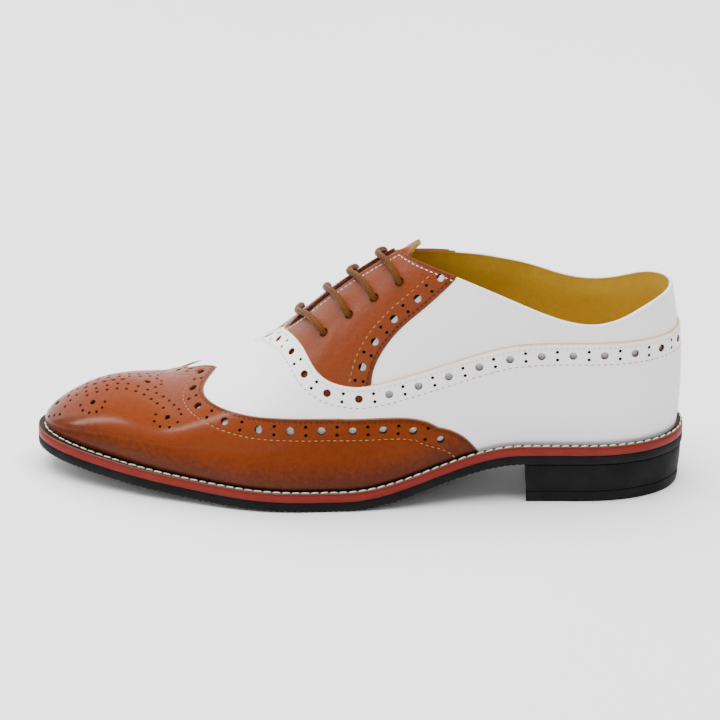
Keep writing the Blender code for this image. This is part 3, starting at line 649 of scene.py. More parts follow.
def cut_half(border, kinds, rows, holes, spacing):
    """Flat triangles of one half panel with a kind for every point."""
    points, edges, tags = [], [], []

    def draw(line, closed, tag):
        start = len(points)
        points.extend(line)
        tags.extend(tag if hasattr(tag, "__len__") else [tag] * len(line))
        edges.extend((start + i, start + i + 1) for i in range(len(line) - 1))
        if closed:
            edges.append((start + len(line) - 1, start))

    draw(border, True, kinds)
    for row in rows:
        draw(row, False, PLAIN)
    loops = []
    for q, t, radius in holes:
        sides = HOLE_SIDES[radius]
        loops.append(hole_loop(q, t, radius, sides))
        draw(loops[-1], True, HOLE)
        draw(hole_loop(q, t, radius + LIP, sides), True, PLAIN)
    tree = KDTree(len(points))
    for i, p in enumerate(points):
        tree.insert((p[0], p[1], 0.0), i)
    tree.balance()
    low, high = border.min(axis=0), border.max(axis=0)
    rungs = np.arange(low[1], high[1], spacing * GRID_RISE)
    u, v = np.meshgrid(np.arange(low[0], high[0], spacing), rungs)
    u = u + np.where(np.arange(u.shape[0]) % 2, spacing / 2, 0.0)[:, None]
    grid = np.column_stack([u.ravel(), v.ravel()])
    grid = grid[inside(grid, border)]
    grid = [p for p in grid if tree.find((p[0], p[1], 0.0))[2] > GRID_CLEAR * spacing]
    points.extend(grid)
    tags.extend([PLAIN] * len(grid))
    made = delaunay_2d_cdt([Vector(p) for p in points], edges, [], 1, WELD)
    flat = np.array([tuple(p) for p in made[0]])
    faces = np.array([f for f in made[2] if len(f) == 3])
    kind = np.array([max((tags[i] for i in source), default=PLAIN) for source in made[3]])
    middle = flat[faces].mean(axis=1)
    solid = inside(middle, border)
    for loop in loops:
        near = np.flatnonzero(np.abs(middle - loop.mean(axis=0)).max(axis=1) < np.ptp(loop, axis=0).max())
        solid[near[inside(middle[near], loop)]] = False
    return flat, faces[solid], kind


def both_sides(flat, faces, kind):
    """Mirrors a half panel and joins it along the ridge, toe line and back line."""
    q, t = from_net(flat)
    t = np.where(t > 0.9996, 1.0, np.where(t < -0.9996, -1.0, t))
    q = np.where(q < 0.0002, 0.0, np.where(q > 0.9998, 1.0, q))
    used = np.unique(faces)
    index = np.full(len(q), -1)
    index[used] = np.arange(len(used))
    q, t, kind, faces = q[used], t[used], kind[used], index[faces]
    shared = on_join(q, t)
    count = len(q)
    other = np.where(shared, np.arange(count), count + np.cumsum(~shared) - 1)
    lone = np.flatnonzero(~shared)
    every = np.vstack([faces, other[faces][:, ::-1]])
    q, t, kind = np.append(q, -q[lone]), np.append(t, t[lone]), np.append(kind, kind[lone])
    corner = skin(q, t)[every]
    turn = np.cross(corner[:, 1] - corner[:, 0], corner[:, 2] - corner[:, 0])
    flip = (turn * outward(q, t)[every].mean(axis=1)).sum(axis=1) < 0
    every[flip] = every[flip][:, ::-1]
    return q, t, kind, every


print("kinds: plain, edge, hole, foot")

# %% Half holes on the centre line
def on_centre(x):
    """Place on the centre line at a distance from the heel."""
    crown = ridge_foot(LENGTH)
    if x > crown:
        rise = np.linspace(0, 1, 2000)
        return 0.0, float(np.interp(-x, -skin(0.0, rise)[:, 0], rise))
    share = np.linspace(0, 0.6, 4000)
    return float(np.interp(-x, -ridge_foot(station(share)), share)), 1.0


def half_bite(x, radius):
    """Half circle on the net from the toe end to the heel end of a centre-line hole."""
    q, t = on_centre(x)
    ends = [skin(*on_centre(x + d)) for d in (0.5, -0.5)]
    ahead = unit(ends[0] - ends[1])
    turn = np.linspace(0, math.pi, 9)[:, None]
    target = skin(q, t) + radius * (np.cos(turn) * ahead + np.sin(turn) * np.array([0.0, 1.0, 0.0]))
    guess = [on_centre(p) for p in target[:, 0]]
    bq, bt = settle(target, np.array([g[0] for g in guess]) + 0.004, np.array([g[1] for g in guess]) - 0.01)
    for end in (0, -1):
        bq[end], bt[end] = on_centre(target[end, 0])
    return to_net(bq, bt)


def bitten(line, bites, axis):
    """Straight border line with half holes bitten out; line and bites run from toe to heel."""
    for bite in bites:
        low, high = sorted((bite[0, axis], bite[-1, axis]))
        before = line[line[:, axis] < low - 0.15]
        after = line[line[:, axis] > high + 0.15]
        line = np.vstack([before, bite if bite[0, axis] < bite[-1, axis] else bite[::-1], after])
    return line


print("bite of the front centre hole:", len(half_bite(290.6, TOE_BIG)), "points")

# %% [markdown]
# ## Turning triangles into leather
# Leather has a thickness and a cut edge. Each panel is closed: the top face, an underside, and
# walls at the seams and in the holes, each with its own finish. The rim points are pressed down
# a little so that edges catch a soft highlight, and the top face takes its shading normals from
# the last itself, so that the uneven triangles never show in the gloss.

# %% Panel builder
PRESS = {PLAIN: 0.0, EDGE: -0.22, HOLE: -0.16, FOOT: 0.0}
CREASE_ANGLE = math.radians(38.0)
# ON_SHADED_BOARD is the last finish: near black, painted as the shade deep behind the holes.
ON_TOP, ON_CUT, IN_HOLE, BELOW, IN_FRONT, ON_SHADED_BOARD = range(6)
SHIFT = np.array([0.5 * SOLE_EDGE_X.sum(), 0.8323, 0.0])


def add_piece(name, points, faces, finishes, which=None, normals=None, measures=None):
    """One smooth object in metres over the origin of the frame."""
    mesh = bpy.data.meshes.new(name)
    mesh.from_pydata(((np.asarray(points) - SHIFT) * MM).tolist(), [], faces)
    for finish in finishes:
        mesh.materials.append(finish)
    if which is not None:
        mesh.polygons.foreach_set("material_index", np.asarray(which, np.int32))
    mesh.polygons.foreach_set("use_smooth", np.ones(len(mesh.polygons), bool))
    mesh.set_sharp_from_angle(angle=CREASE_ANGLE)
    for key, values in (measures or {}).items():
        mesh.attributes.new(key, "FLOAT", "POINT").data.foreach_set("value", np.asarray(values, np.float32))
    mesh.update()
    if normals is not None:
        mesh.normals_split_custom_set_from_vertices(np.asarray(normals).tolist())
    made = bpy.data.objects.new(name, mesh)
    bpy.context.scene.collection.objects.link(made)
    return made


def dress(piece, slot, *nodes):
    """The piece rides on the shoe and stands for the named solids, which are hidden; slot is not used."""
    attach(piece, "root")
    if nodes:
        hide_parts(*nodes)
    return piece


def open_edges(faces):
    """Directed edges that belong to one triangle only."""
    sides = np.vstack([faces[:, [0, 1]], faces[:, [1, 2]], faces[:, [2, 0]]])
    seen = set(map(tuple, sides.tolist()))
    return [e for e in seen if (e[1], e[0]) not in seen]


def distance_from(points, marks):
    tree = KDTree(len(marks))
    for i, m in enumerate(marks):
        tree.insert(m, i)
    tree.balance()
    return np.array([tree.find(p)[2] for p in points])


def leather_panel(name, half, top, under, finishes, skive=0.0, pit=None, brown_from=math.inf, shaded_board_at=None):
    """Closed panel; finishes are top, cut edge, hole wall and underside, then front edge and a near-black
    painted shade.

    The cut edge slopes outwards by the skive, so that its thickness shows from above. The hole
    walls go down to the pit, where the next layer lies. Ahead of brown_from the cut edge takes
    the front finish, and shaded_board_at tells where the top takes the near-black painted shade."""
    q, t, kind, faces = both_sides(*half)
    top = top(q, t) if callable(top) else np.full(len(q), top)
    under = under(q, t) if callable(under) else np.full(len(q), under)
    if pit is not None:
        under = np.where(kind == HOLE, pit, under)
    press = np.array([PRESS[k] for k in kind])
    over = place(q, t, top + press)
    below = place(q, t, under)
    count = len(q)
    rims = np.array(open_edges(faces))
    away = np.zeros_like(over)
    sideways = np.cross(over[rims[:, 1]] - over[rims[:, 0]], outward(q, t)[rims[:, 0]])
    np.add.at(away, rims[:, 0], sideways)
    np.add.at(away, rims[:, 1], sideways)
    below += np.where((kind == EDGE)[:, None], skive * unit(away), 0.0)
    walls = [(a, b, b + count, a + count) for b, a in rims.tolist()]
    # Top faces where shaded_board_at holds take the near-black painted shade.
    shaded_board = shaded_board_at(q, t)[faces].all(axis=1) if shaded_board_at else np.zeros(len(faces), bool)
    which = np.where(shaded_board, ON_SHADED_BOARD, ON_TOP).tolist() + [BELOW] * len(faces)
    rim_finish = np.where(over[:, 0] > brown_from, IN_FRONT, ON_CUT)
    which += [IN_HOLE if kind[a] == HOLE and kind[b] == HOLE else rim_finish[a] for a, b, _, _ in walls]
    every = faces.tolist() + (faces[:, ::-1] + count).tolist() + walls
    normals = np.where((kind == PLAIN)[:, None], shading_normal(q, t), 0.0)
    normals = np.vstack([normals, np.zeros_like(normals)])
    edge = distance_from(over, over[kind == EDGE])
    height = over[:, 2] - feather(over[:, 0])
    measures = {"edge_mm": np.tile(edge, 2), "welt_mm": np.tile(height, 2),
                "polish": np.tile(polish(outward(q, t)), 2)}
    made = add_piece(name, np.vstack([over, below]), every, finishes, which, normals, measures)
    print(name, "faces:", len(every))
    return made


print("frame offset in mm:", np.round(SHIFT, 2))

# %% [markdown]
# ## Shared shading effects
# Grain, burnish and sewn grooves appear on several leathers, so each is a node group with named
# sockets. A group only gives out masks and heights; the shader itself stays in each material.
# The panels carry three measured values: the distance to their cut edge, the height over the
# welt and a share of polish. So a groove, a dark edge or a shine can follow the form exactly
# without any painting.

# %% Node helpers
def feed(tree, socket, value):
    if isinstance(value, bpy.types.NodeSocket):
        tree.links.new(value, socket)
    else:
        socket.default_value = value


def node(tree, kind, inputs=None, **settings):
    made = tree.nodes.new(kind)
    for key, value in settings.items():
        setattr(made, key, value)
    for key, value in (inputs or {}).items():
        feed(tree, made.inputs[key], value)
    return made


def sums(tree, operation, a, b=0.0, clamp=False):
    return node(tree, "ShaderNodeMath", {0: a, 1: b}, operation=operation, use_clamp=clamp).outputs[0]


def scaled(tree, value, share, start):
    """A value times a share, plus a start."""
    return node(tree, "ShaderNodeMath", {0: value, 1: share, 2: start}, operation="MULTIPLY_ADD").outputs[0]


def blend_colours(tree, share, a, b):
    return node(tree, "ShaderNodeMix", {0: share, 6: a, 7: b}, data_type="RGBA").outputs[2]


def span(tree, value, low, high, start=0.0, end=1.0):
    """Smooth ramp of a value between two limits."""
    inputs = {"Value": value, "From Min": low, "From Max": high, "To Min": start, "To Max": end}
    return node(tree, "ShaderNodeMapRange", inputs, interpolation_type="SMOOTHSTEP").outputs[0]


def noise(tree, position, scale, detail=2.0, rough=0.5):
    inputs = {"Vector": position, "Scale": scale, "Detail": detail, "Roughness": rough}
    return node(tree, "ShaderNodeTexNoise", inputs).outputs[0]


def new_group(name, inputs, outputs):
    group = bpy.data.node_groups.new(name, "ShaderNodeTree")
    for title, kind in inputs:
        group.interface.new_socket(title, in_out="INPUT", socket_type=kind)
    for title in outputs:
        group.interface.new_socket(title, in_out="OUTPUT", socket_type="NodeSocketFloat")
    return group, group.nodes.new("NodeGroupInput").outputs, group.nodes.new("NodeGroupOutput").inputs


def use(tree, group, inputs):
    made = tree.nodes.new("ShaderNodeGroup")
    made.node_tree = group
    for key, value in inputs.items():
        feed(tree, made.inputs[key], value)
    return made.outputs


FLOAT, PLACE = "NodeSocketFloat", "NodeSocketVector"
print("node helpers ready")

# %% Grain, darkening with painted crevice shade, and groove groups
grain, g_in, g_out = new_group("leather_grain", [("Position", PLACE), ("Cells", FLOAT)], ["Height", "Shade"])
cells = node(grain, "ShaderNodeTexVoronoi", {"Vector": g_in["Position"], "Scale": g_in["Cells"]},
             feature="SMOOTH_F1").outputs[0]
broad = noise(grain, g_in["Position"], sums(grain, "MULTIPLY", g_in["Cells"], 0.3), 3.0)
fine = noise(grain, g_in["Position"], sums(grain, "MULTIPLY", g_in["Cells"], 3.0), 2.0)
body = sums(grain, "ADD", sums(grain, "MULTIPLY", cells, 0.8), sums(grain, "MULTIPLY", broad, 0.7))
feed(grain, g_out["Height"], sums(grain, "ADD", body, sums(grain, "MULTIPLY", fine, 0.12)))
feed(grain, g_out["Shade"], broad)

burnish_and_crevice_shade, g_in, g_out = new_group(
    "burnish_and_crevice_shade", [("Position", PLACE), ("Edge", FLOAT), ("Welt", FLOAT)], ["Dark", "PaintedCreviceShade"])
patch = noise(burnish_and_crevice_shade, g_in["Position"], 26.0, 3.0, 0.55)
fleck = noise(burnish_and_crevice_shade, g_in["Position"], 430.0, 4.0, 0.6)
speck = noise(burnish_and_crevice_shade, g_in["Position"], 2100.0, 2.0, 0.5)
# Dark: darker towards the welt and along the cut edges, mottled by three noises.
low = span(burnish_and_crevice_shade, g_in["Welt"], 2.0, 18.0, 1.0, 0.0)
rim = span(burnish_and_crevice_shade, g_in["Edge"], 0.0, 2.2, 1.0, 0.0)
dark = sums(burnish_and_crevice_shade, "ADD", sums(burnish_and_crevice_shade, "MULTIPLY", low, 0.65), sums(burnish_and_crevice_shade, "MULTIPLY", rim, 0.35))
for cloud, share, start in ((patch, 0.6, -0.15), (fleck, 0.8, -0.36), (speck, 1.0, -0.5)):
    dark = sums(burnish_and_crevice_shade, "ADD", dark, scaled(burnish_and_crevice_shade, cloud, share, start))
feed(burnish_and_crevice_shade, g_out["Dark"], span(burnish_and_crevice_shade, dark, 0.0, 1.0))
# The crevice output is painted shade: 1 within a millimetre of the welt, gone by 3.4 mm, darkening the crevice
# between upper and welt.
feed(burnish_and_crevice_shade, g_out["PaintedCreviceShade"], span(burnish_and_crevice_shade, g_in["Welt"], 0.9, 3.4, 1.0, 0.0))

groove, g_in, g_out = new_group("sewn_groove", [("Edge", FLOAT), ("Row", FLOAT), ("Width", FLOAT)], ["Depth"])
off = sums(groove, "ABSOLUTE", sums(groove, "SUBTRACT", g_in["Edge"], g_in["Row"]))
feed(groove, g_out["Depth"], span(groove, sums(groove, "DIVIDE", off, g_in["Width"]), 0.0, 1.0, 1.0, 0.0))
print("groups:", [g.name for g in (grain, burnish_and_crevice_shade, groove)])

# %% [markdown]
# ## Leathers
# Cognac calf is brown under a clear, polished finish: a coat layer gives the sharp sheen while
# the base stays softer. The colour is blended between a light and a dark tone by a mask that is
# darker towards the welt, along the cut edges and in random patches, and the band just over the
# welt is painted near black as the shade in the crevice there. The grain drives a fine bump. White
# leather uses the same groups with a smoother grain and a faint lilac tint.

# %% Leather materials
def blank(name):
    made = bpy.data.materials.new(name)
    made.use_nodes = True
    return made, made.node_tree, made.node_tree.nodes["Principled BSDF"]


def measure(tree, key):
    return node(tree, "ShaderNodeAttribute", attribute_name=key).outputs["Fac"]


def where(tree):
    return node(tree, "ShaderNodeTexCoord").outputs["Object"]


def paint(tree, shader, share, light, dark):
    """Base colour between two tones."""
    feed(tree, shader.inputs["Base Color"], blend_colours(tree, share, light, dark))


def emboss(tree, shader, height, depth, strength):
    """Bump from a height, its depth in metres."""
    bump = node(tree, "ShaderNodeBump", {"Strength": strength, "Distance": depth, "Height": height})
    feed(tree, shader.inputs["Normal"], bump.outputs[0])


# Near-black colour of the painted shade in the crevice over the welt.
PAINTED_CREVICE_SHADE = (0.010, 0.004, 0.002, 1)
WING_ROWS, VAMP_ROWS, FACING_ROWS = (1.3, 9.7), (1.8, 9.6), (1.4, 9.6)
GROOVE_WIDTH, GROOVE_DEPTH = 1.0, 1.6


def leather(name, light, dark, cells, relief, rough, coat, rows, shade=1.0):
    """Grained leather; relief in metres, rough as a pair, coat as weight, roughness and gloss below it."""
    made, tree, shader = blank(name)
    spot, edge = where(tree), measure(tree, "edge_mm")
    grained = use(tree, grain, {"Position": spot, "Cells": cells})
    worn = use(tree, burnish_and_crevice_shade, {"Position": spot, "Edge": edge, "Welt": measure(tree, "welt_mm")})
    tone = sums(tree, "MULTIPLY", worn["Dark"], shade)
    # Painted shade: the band just over the welt is blended towards near black.
    deep = sums(tree, "MULTIPLY", worn["PaintedCreviceShade"], shade)
    paint(tree, shader, deep, blend_colours(tree, tone, light, dark), PAINTED_CREVICE_SHADE)
    feed(tree, shader.inputs["Roughness"], span(tree, grained["Shade"], 0.3, 0.75, *rough))
    height = grained["Height"]
    for row in rows:
        sunk = use(tree, groove, {"Edge": edge, "Row": row, "Width": GROOVE_WIDTH})["Depth"]
        height = sums(tree, "SUBTRACT", height, sums(tree, "MULTIPLY", sunk, GROOVE_DEPTH))
    emboss(tree, shader, height, relief, 1.0)
    feed(tree, shader.inputs["Coat Weight"], sums(tree, "MULTIPLY", measure(tree, "polish"), coat[0]))
    shader.inputs["Coat Roughness"].default_value = coat[1]
    shader.inputs["Specular IOR Level"].default_value = coat[2]
    return made


cognac = leather(
    "cognac_leather", (0.150, 0.0260, 0.0034, 1), (0.068, 0.0105, 0.0012, 1),
    cells=1250.0, relief=0.00013, rough=(0.36, 0.50), coat=(0.70, 0.20, 0.05), rows=WING_ROWS)
soft_cognac = leather(
    "soft_cognac_leather", (0.150, 0.0275, 0.0042, 1), (0.070, 0.0110, 0.0015, 1),
    cells=700.0, relief=0.00030, rough=(0.40, 0.55), coat=(0.55, 0.40, 0.10), rows=FACING_ROWS[:1])
white = leather(
    "white_leather", (0.86, 0.83, 0.855, 1), (0.74, 0.70, 0.73, 1),
    cells=1500.0, relief=0.00004, rough=(0.42, 0.55), coat=(0.1, 0.3, 0.3), rows=VAMP_ROWS, shade=0.35)
mustard = leather(
    "mustard_lining", (0.48, 0.29, 0.028, 1), (0.33, 0.19, 0.018, 1),
    cells=900.0, relief=0.00010, rough=(0.55, 0.7), coat=(0.0, 0.3, 0.2), rows=(), shade=0.8)
print("leathers:", cognac.name, white.name, mustard.name)

# %% Cut edges, hole walls and flesh side
def fibre(name, light, dark, rough):
    """Raw leather: fibrous, matt, uneven in tone."""
    made, tree, shader = blank(name)
    spot = where(tree)
    strands = noise(tree, spot, 1400.0, 3.0, 0.65)
    paint(tree, shader, span(tree, strands, 0.3, 0.7), light, dark)
    shader.inputs["Roughness"].default_value = rough
    shader.inputs["Specular IOR Level"].default_value = 0.15
    emboss(tree, shader, strands, 0.0002, 0.6)
    return made


tan_edge = fibre("tan_cut_edge", (0.22, 0.135, 0.085, 1), (0.11, 0.055, 0.03, 1), 0.8)
cream_edge = fibre("cream_cut_edge", (0.72, 0.55, 0.36, 1), (0.52, 0.36, 0.21, 1), 0.8)
brown_edge = fibre("brown_painted_edge", (0.17, 0.05, 0.018, 1), (0.09, 0.024, 0.008, 1), 0.55)
pale_edge = fibre("white_folded_edge", (0.78, 0.74, 0.75, 1), (0.62, 0.57, 0.58, 1), 0.6)
# Hole walls of the brown panels: dark dye, darkened further as painted shade inside the holes.
dark_shaded_wall = fibre("punched_wall", (0.075, 0.03, 0.012, 1), (0.03, 0.011, 0.005, 1), 0.7)
tan_wall = fibre("punched_wall_pale", (0.24, 0.13, 0.075, 1), (0.12, 0.055, 0.03, 1), 0.75)
flesh = fibre("flesh_side", (0.30, 0.19, 0.11, 1), (0.20, 0.12, 0.07, 1), 0.9)
# shadow: near-black painted shade for the pin-hole floors and for the quarter's top behind the facing holes.
shadow = fibre("painted_hole_shade", (0.012, 0.007, 0.004, 1), (0.006, 0.003, 0.002, 1), 0.9)
print("edge finishes: 8")

# %% [markdown]
# ## The wing cap
# The wing cap is the brown panel that covers the toe and runs back along both sides in a W. Its
# half outline is the seam from the ridge to the sole, the sole line forward to the toe, the toe
# line up and the ridge back. The vamp below it runs on for a centimetre, so the large holes
# show white.

# %% Wing cap
WING_TOP, WING_UNDER, WING_PIT = 0.85, -0.2, -1.7
VAMP_TOP, VAMP_UNDER, VAMP_PIT = 0.0, -0.9, -1.65
FACING_TOP, FACING_UNDER, FACING_PIT = -0.5, -1.2, -2.3
QUARTER_TOP, LINING_FACE = -1.15, -3.9
OVERLAP = 12.0
VAMP_SINK, FACING_SINK, QUARTER_SINK = 1.8, 1.25, 1.25
TUCKED_THICK = 0.35
ON_RIDGE = 0.9999
ON_LINE = 0.02


def straight(a, b, step):
    """Even points from a up to, but not including, b."""
    count = max(1, round(math.dist(a, b) / step))
    return np.array(a) + (np.array(b) - np.array(a)) * np.linspace(0, 1, count, endpoint=False)[:, None]


def half_wing():
    foot = straight((wing_seam[-1, 0], -NET_LOW), (0.0, -NET_LOW), 2.0)
    crown = ridge_foot(LENGTH)
    toe_bites = [half_bite(x, r) for x, r in CENTRE_HOLES if x > crown]
    ridge_bites = [half_bite(x, r) for x, r in CENTRE_HOLES if x <= crown]
    ridge_bites.append(half_bite(float(skin(wing_row[0][0], 1.0)[0]) + PEAK_FORWARD, BIG))
    toe = bitten(straight((0.0, -NET_LOW), (0.0, NET_RISE), 1.6), toe_bites, 1)
    ridge = bitten(straight((0.0, NET_RISE), (wing_seam[0, 0], NET_RISE), 1.6), ridge_bites, 0)
    border = np.vstack([wing_seam, foot[1:], toe, ridge])
    kinds = np.full(len(border), PLAIN)
    kinds[:len(wing_seam)] = EDGE
    on_lines = (np.abs(border[:, 0]) < ON_LINE) | (np.abs(border[:, 1] - NET_RISE) < ON_LINE)
    kinds[(np.arange(len(border)) >= len(wing_seam) + len(foot) - 1) & ~on_lines] = HOLE
    rows = [to_net(*ridge_row(wing_seam, RIM_ROW))[1:]]
    return cut_half(border, kinds, rows, wing_holes + medallion, 2.1)


wing_cap = leather_panel("wing_cap_leather", half_wing(), WING_TOP, WING_UNDER,
                         [cognac, tan_edge, dark_shaded_wall, flesh], skive=0.7, pit=WING_PIT)
dress(wing_cap, "brown_leather", "wing_cap")

# %% [markdown]
# ## The vamp
# The vamp is the white panel between the wing and the facings; with no heel counter in sight it
# runs on round the back. It goes under the wing, so its tucked part is laid lower, and the
# change of level is hidden beneath the wing's edge.

# %% Vamp
wing_area = np.vstack([wing_seam, [[0.0, -NET_LOW]], [[0.0, NET_RISE]]])
wing_marks = skin(*from_net(wing_seam))


def under_wing(q, t):
    """Lift of the vamp: flush where it shows, lower under the wing."""
    flat = to_net(np.abs(q), t)
    hidden = inside(flat, wing_area) & (t < ON_RIDGE)
    ridge = (t >= ON_RIDGE) & (flat[:, 0] < wing_seam[0, 0])
    depth = distance_from(skin(np.abs(q), t), wing_marks)
    sink = smooth((depth - 0.3) / 1.5)
    return np.where(hidden | ridge, VAMP_TOP - VAMP_SINK * sink, VAMP_TOP)


vamp_peak = float(skin(vamp_row[0][0], 1.0)[0])
VAMP_CENTRE_HOLES = ((vamp_peak - PAIR_HALF, SMALL), (vamp_peak + PAIR_HALF, SMALL))


def half_vamp():
    hidden = to_net(*ridge_row(wing_seam, OVERLAP))
    hidden = np.vstack([hidden, [[hidden[-1, 0], -NET_LOW]]])
    back = straight((NET_ALONG, vamp_seam[-1, 1]), (NET_ALONG, -NET_LOW), 2.4)
    foot = straight((NET_ALONG, -NET_LOW), tuple(hidden[-1]), 2.4)
    ridge = straight(tuple(hidden[0]), tuple(vamp_seam[0]), 1.8)[1:]
    ridge = bitten(ridge, [half_bite(x, r) for x, r in VAMP_CENTRE_HOLES[::-1]], 0)
    border = np.vstack([vamp_seam, back[1:], foot, hidden[::-1], ridge])
    kinds = np.full(len(border), PLAIN)
    kinds[:len(vamp_seam)] = EDGE
    kinds[-len(ridge):] = np.where(ridge[:, 1] < NET_RISE - ON_LINE, HOLE, PLAIN)
    rows = [to_net(*ridge_row(vamp_seam, RIM_ROW))[1:]]
    rows += [to_net(*beside(wing_seam, d, -1))[1:] for d in (0.3, 1.0, 1.8)]
    return cut_half(border, kinds, rows, vamp_holes, 2.3)


def vamp_below(q, t):
    return np.minimum(under_wing(q, t) - TUCKED_THICK, VAMP_UNDER)


vamp = leather_panel("vamp_leather", half_vamp(), under_wing, vamp_below,
                     [white, cream_edge, tan_wall, flesh], skive=0.6, pit=VAMP_PIT)
dress(vamp, "white_leather", "vamp")

# %% [markdown]
# ## The facings
# The brown facings carry the eyelets and meet under the vamp. They are cut as one sheet that is
# open along the throat. Their rear edge has its own row of brogue holes. Through the large ones
# the white quarter shows as far as it reaches, and beyond it the layer below is painted near black
# as shade.

# %% Facings
EYELET_FRONT, EYELET_TOP, EYELET_RADIUS = (165.6, 0.66), (131.0, 0.68), 2.0
HOLE_SIDES[EYELET_RADIUS] = 18
eyelet_share = np.linspace(0, 1, 4)[:, None]
eyelet_rows = np.array(EYELET_FRONT) * (1 - eyelet_share) + np.array(EYELET_TOP) * eyelet_share
eyelets = [(float(round_share(x)), t, EYELET_RADIUS) for x, t in eyelet_rows]
vamp_area = np.vstack([vamp_seam, [[NET_ALONG, -NET_LOW]], [[0.0, -NET_LOW]], [[0.0, NET_RISE]]])


def shows(q, t, margin=0.0):
    """Whether a place is above the vamp and below the top line."""
    free = ~inside(to_net(q, t), vamp_area)
    return free & (t < top_rise(station(q)) - margin)


def showing(row, margin=0.0):
    keep = shows(*row, margin)
    return row[0][keep], row[1][keep]


facing_holes = hole_row(beside(facing_long, ROW_INSET, 1), FACING_SPOTS)[1:]
facing_holes = [h for h in facing_holes if shows(np.array([h[0]]), np.array([h[1]]), 0.035)[0]]
vamp_marks = skin(*from_net(vamp_seam))


def under_vamp(q, t):
    flat = to_net(np.abs(q), t)
    hidden = inside(flat, vamp_area) | ((t >= ON_RIDGE) & (flat[:, 0] < vamp_seam[0, 0]))
    sink = smooth((distance_from(skin(np.abs(q), t), vamp_marks) - 0.3) / 0.9)
    return np.where(hidden, FACING_TOP - FACING_SINK * sink, FACING_TOP)


def half_facing():
    hidden = to_net(*ridge_row(vamp_seam, OVERLAP))
    tuck = walk((FACING_TUCKED, FACING_EDGE[0]), SEAM_STEP)
    stop = int(np.argmin(np.linalg.norm(hidden - tuck[0], axis=1)))
    top = top_line[facing_top::-1]
    ridge = straight((top_line[0, 0], NET_RISE), tuple(hidden[0]), 1.8)
    border = np.vstack([hidden[:stop], tuck[:-1], facing_seam, top[1:-1], ridge])
    kinds = np.full(len(border), PLAIN)
    first = stop + len(tuck) - 1
    kinds[first:first + len(facing_seam) + len(top) - 2] = EDGE
    rear = beside(facing_seam, RIM_ROW, 1)
    lip = beside(top, RIM_ROW, 1)
    rows = [to_net(*row)[3:-3] for row in (rear, lip)]
    rows += [to_net(*showing_under(d)) for d in (0.3, 1.2)]
    return cut_half(border, kinds, rows, facing_holes + eyelets, 2.0)


def showing_under(distance):
    """Line just under the vamp's edge, as far back as the facing reaches."""
    q, t = beside(vamp_seam, distance, -1)
    keep = station(q) > FACING_EDGE[0][0] + 4.0
    return q[keep], t[keep]


def facing_below(q, t):
    return np.minimum(under_vamp(q, t) - TUCKED_THICK, FACING_UNDER)


facings = leather_panel("facing_leather", half_facing(), under_vamp, facing_below,
                        [soft_cognac, brown_edge, dark_shaded_wall, flesh], skive=0.35, pit=FACING_PIT)
dress(facings, "brown_leather", "facing_lateral", "facing_medial")

# %% [markdown]
# ## Quarters and lining
# Behind everything lies the hollow upper: white quarters outside, mustard lining inside, open at
# the collar, the throat and underneath. It is one shell over the whole net, thinned towards the
# top line as a folded edge is.

# %% Upper shell
FOLD_THIN, FOLD_WIDE = 1.25, 4.0
QUARTER_TUCK = 6.0
top_marks = skin(*from_net(top_line))


def lining_face(q, t):
    near = distance_from(skin(np.abs(q), t), top_marks)
    return LINING_FACE + FOLD_THIN * np.exp(-(near / FOLD_WIDE) ** 2)


facing_foot = int(np.argmin(np.linalg.norm(vamp_seam - facing_seam[0], axis=1)))
facing_area = np.vstack([facing_seam, top_line[facing_top::-1], vamp_seam[:facing_foot + 1]])
facing_marks = skin(*from_net(facing_seam))
quarter_marks = np.vstack([vamp_marks[facing_foot:], facing_marks, top_marks])


def quarter_top(q, t):
    """Lift of the quarters: lower where the vamp and the facings lie over them."""
    flat = to_net(np.abs(q), t)
    hidden = inside(flat, vamp_area) | inside(flat, facing_area) | (t >= ON_RIDGE)
    depth = distance_from(skin(np.abs(q), t), quarter_marks)
    return QUARTER_TOP - QUARTER_SINK * np.where(hidden, smooth((depth - 0.4) / 1.0), 0.0)


def half_upper():
    foot = straight((0.0, -NET_LOW), (NET_ALONG, -NET_LOW), 3.2)
    back = straight((NET_ALONG, -NET_LOW), tuple(top_line[-1]), 3.2)
    ridge = straight((top_line[0, 0], NET_RISE), (0.0, NET_RISE), 3.2)
    toe = straight((0.0, NET_RISE), (0.0, -NET_LOW), 3.2)
    border = np.vstack([foot, back, top_line[::-1], ridge[1:], toe])
    kinds = np.full(len(border), PLAIN)
    start = len(foot) + len(back)
    kinds[start:start + len(top_line)] = EDGE
    rows = [to_net(*beside(top_line[:2:-1], 0.6, 1))[3:-3]]
    for depth in (0.4, 1.4):
        rows.append(to_net(*beside(vamp_seam[facing_foot:], depth, -1))[2:-1])
        rows.append(to_net(*beside(facing_seam, depth, 1))[3:-4])
    rows.append(to_net(*beside(facing_seam, QUARTER_TUCK, 1))[4:-6])
    return cut_half(border, kinds, rows, eyelets, 3.2)


def past_quarter(q, t):
    """Where the white has ended under the facing; the top there is painted near black as the shade deep behind
    the holes.
    """
    depth = distance_from(skin(np.abs(q), t), facing_marks)
    return inside(to_net(np.abs(q), t), facing_area) & (depth > QUARTER_TUCK - 0.15)


upper = leather_panel("quarters_and_lining", half_upper(), quarter_top, lining_face,
                      [white, pale_edge, dark_shaded_wall, mustard, brown_edge, shadow],
                      brown_from=float(top_marks[facing_top, 0]), shaded_board_at=past_quarter)
dress(upper, "white_leather", "upper")

# %% Dark discs of painted shade in the small holes
FLOOR_SIDES, FLOOR_SPARE = 12, 0.12


def small_ones(holes):
    return [hole for hole in holes if hole[2] == SMALL]


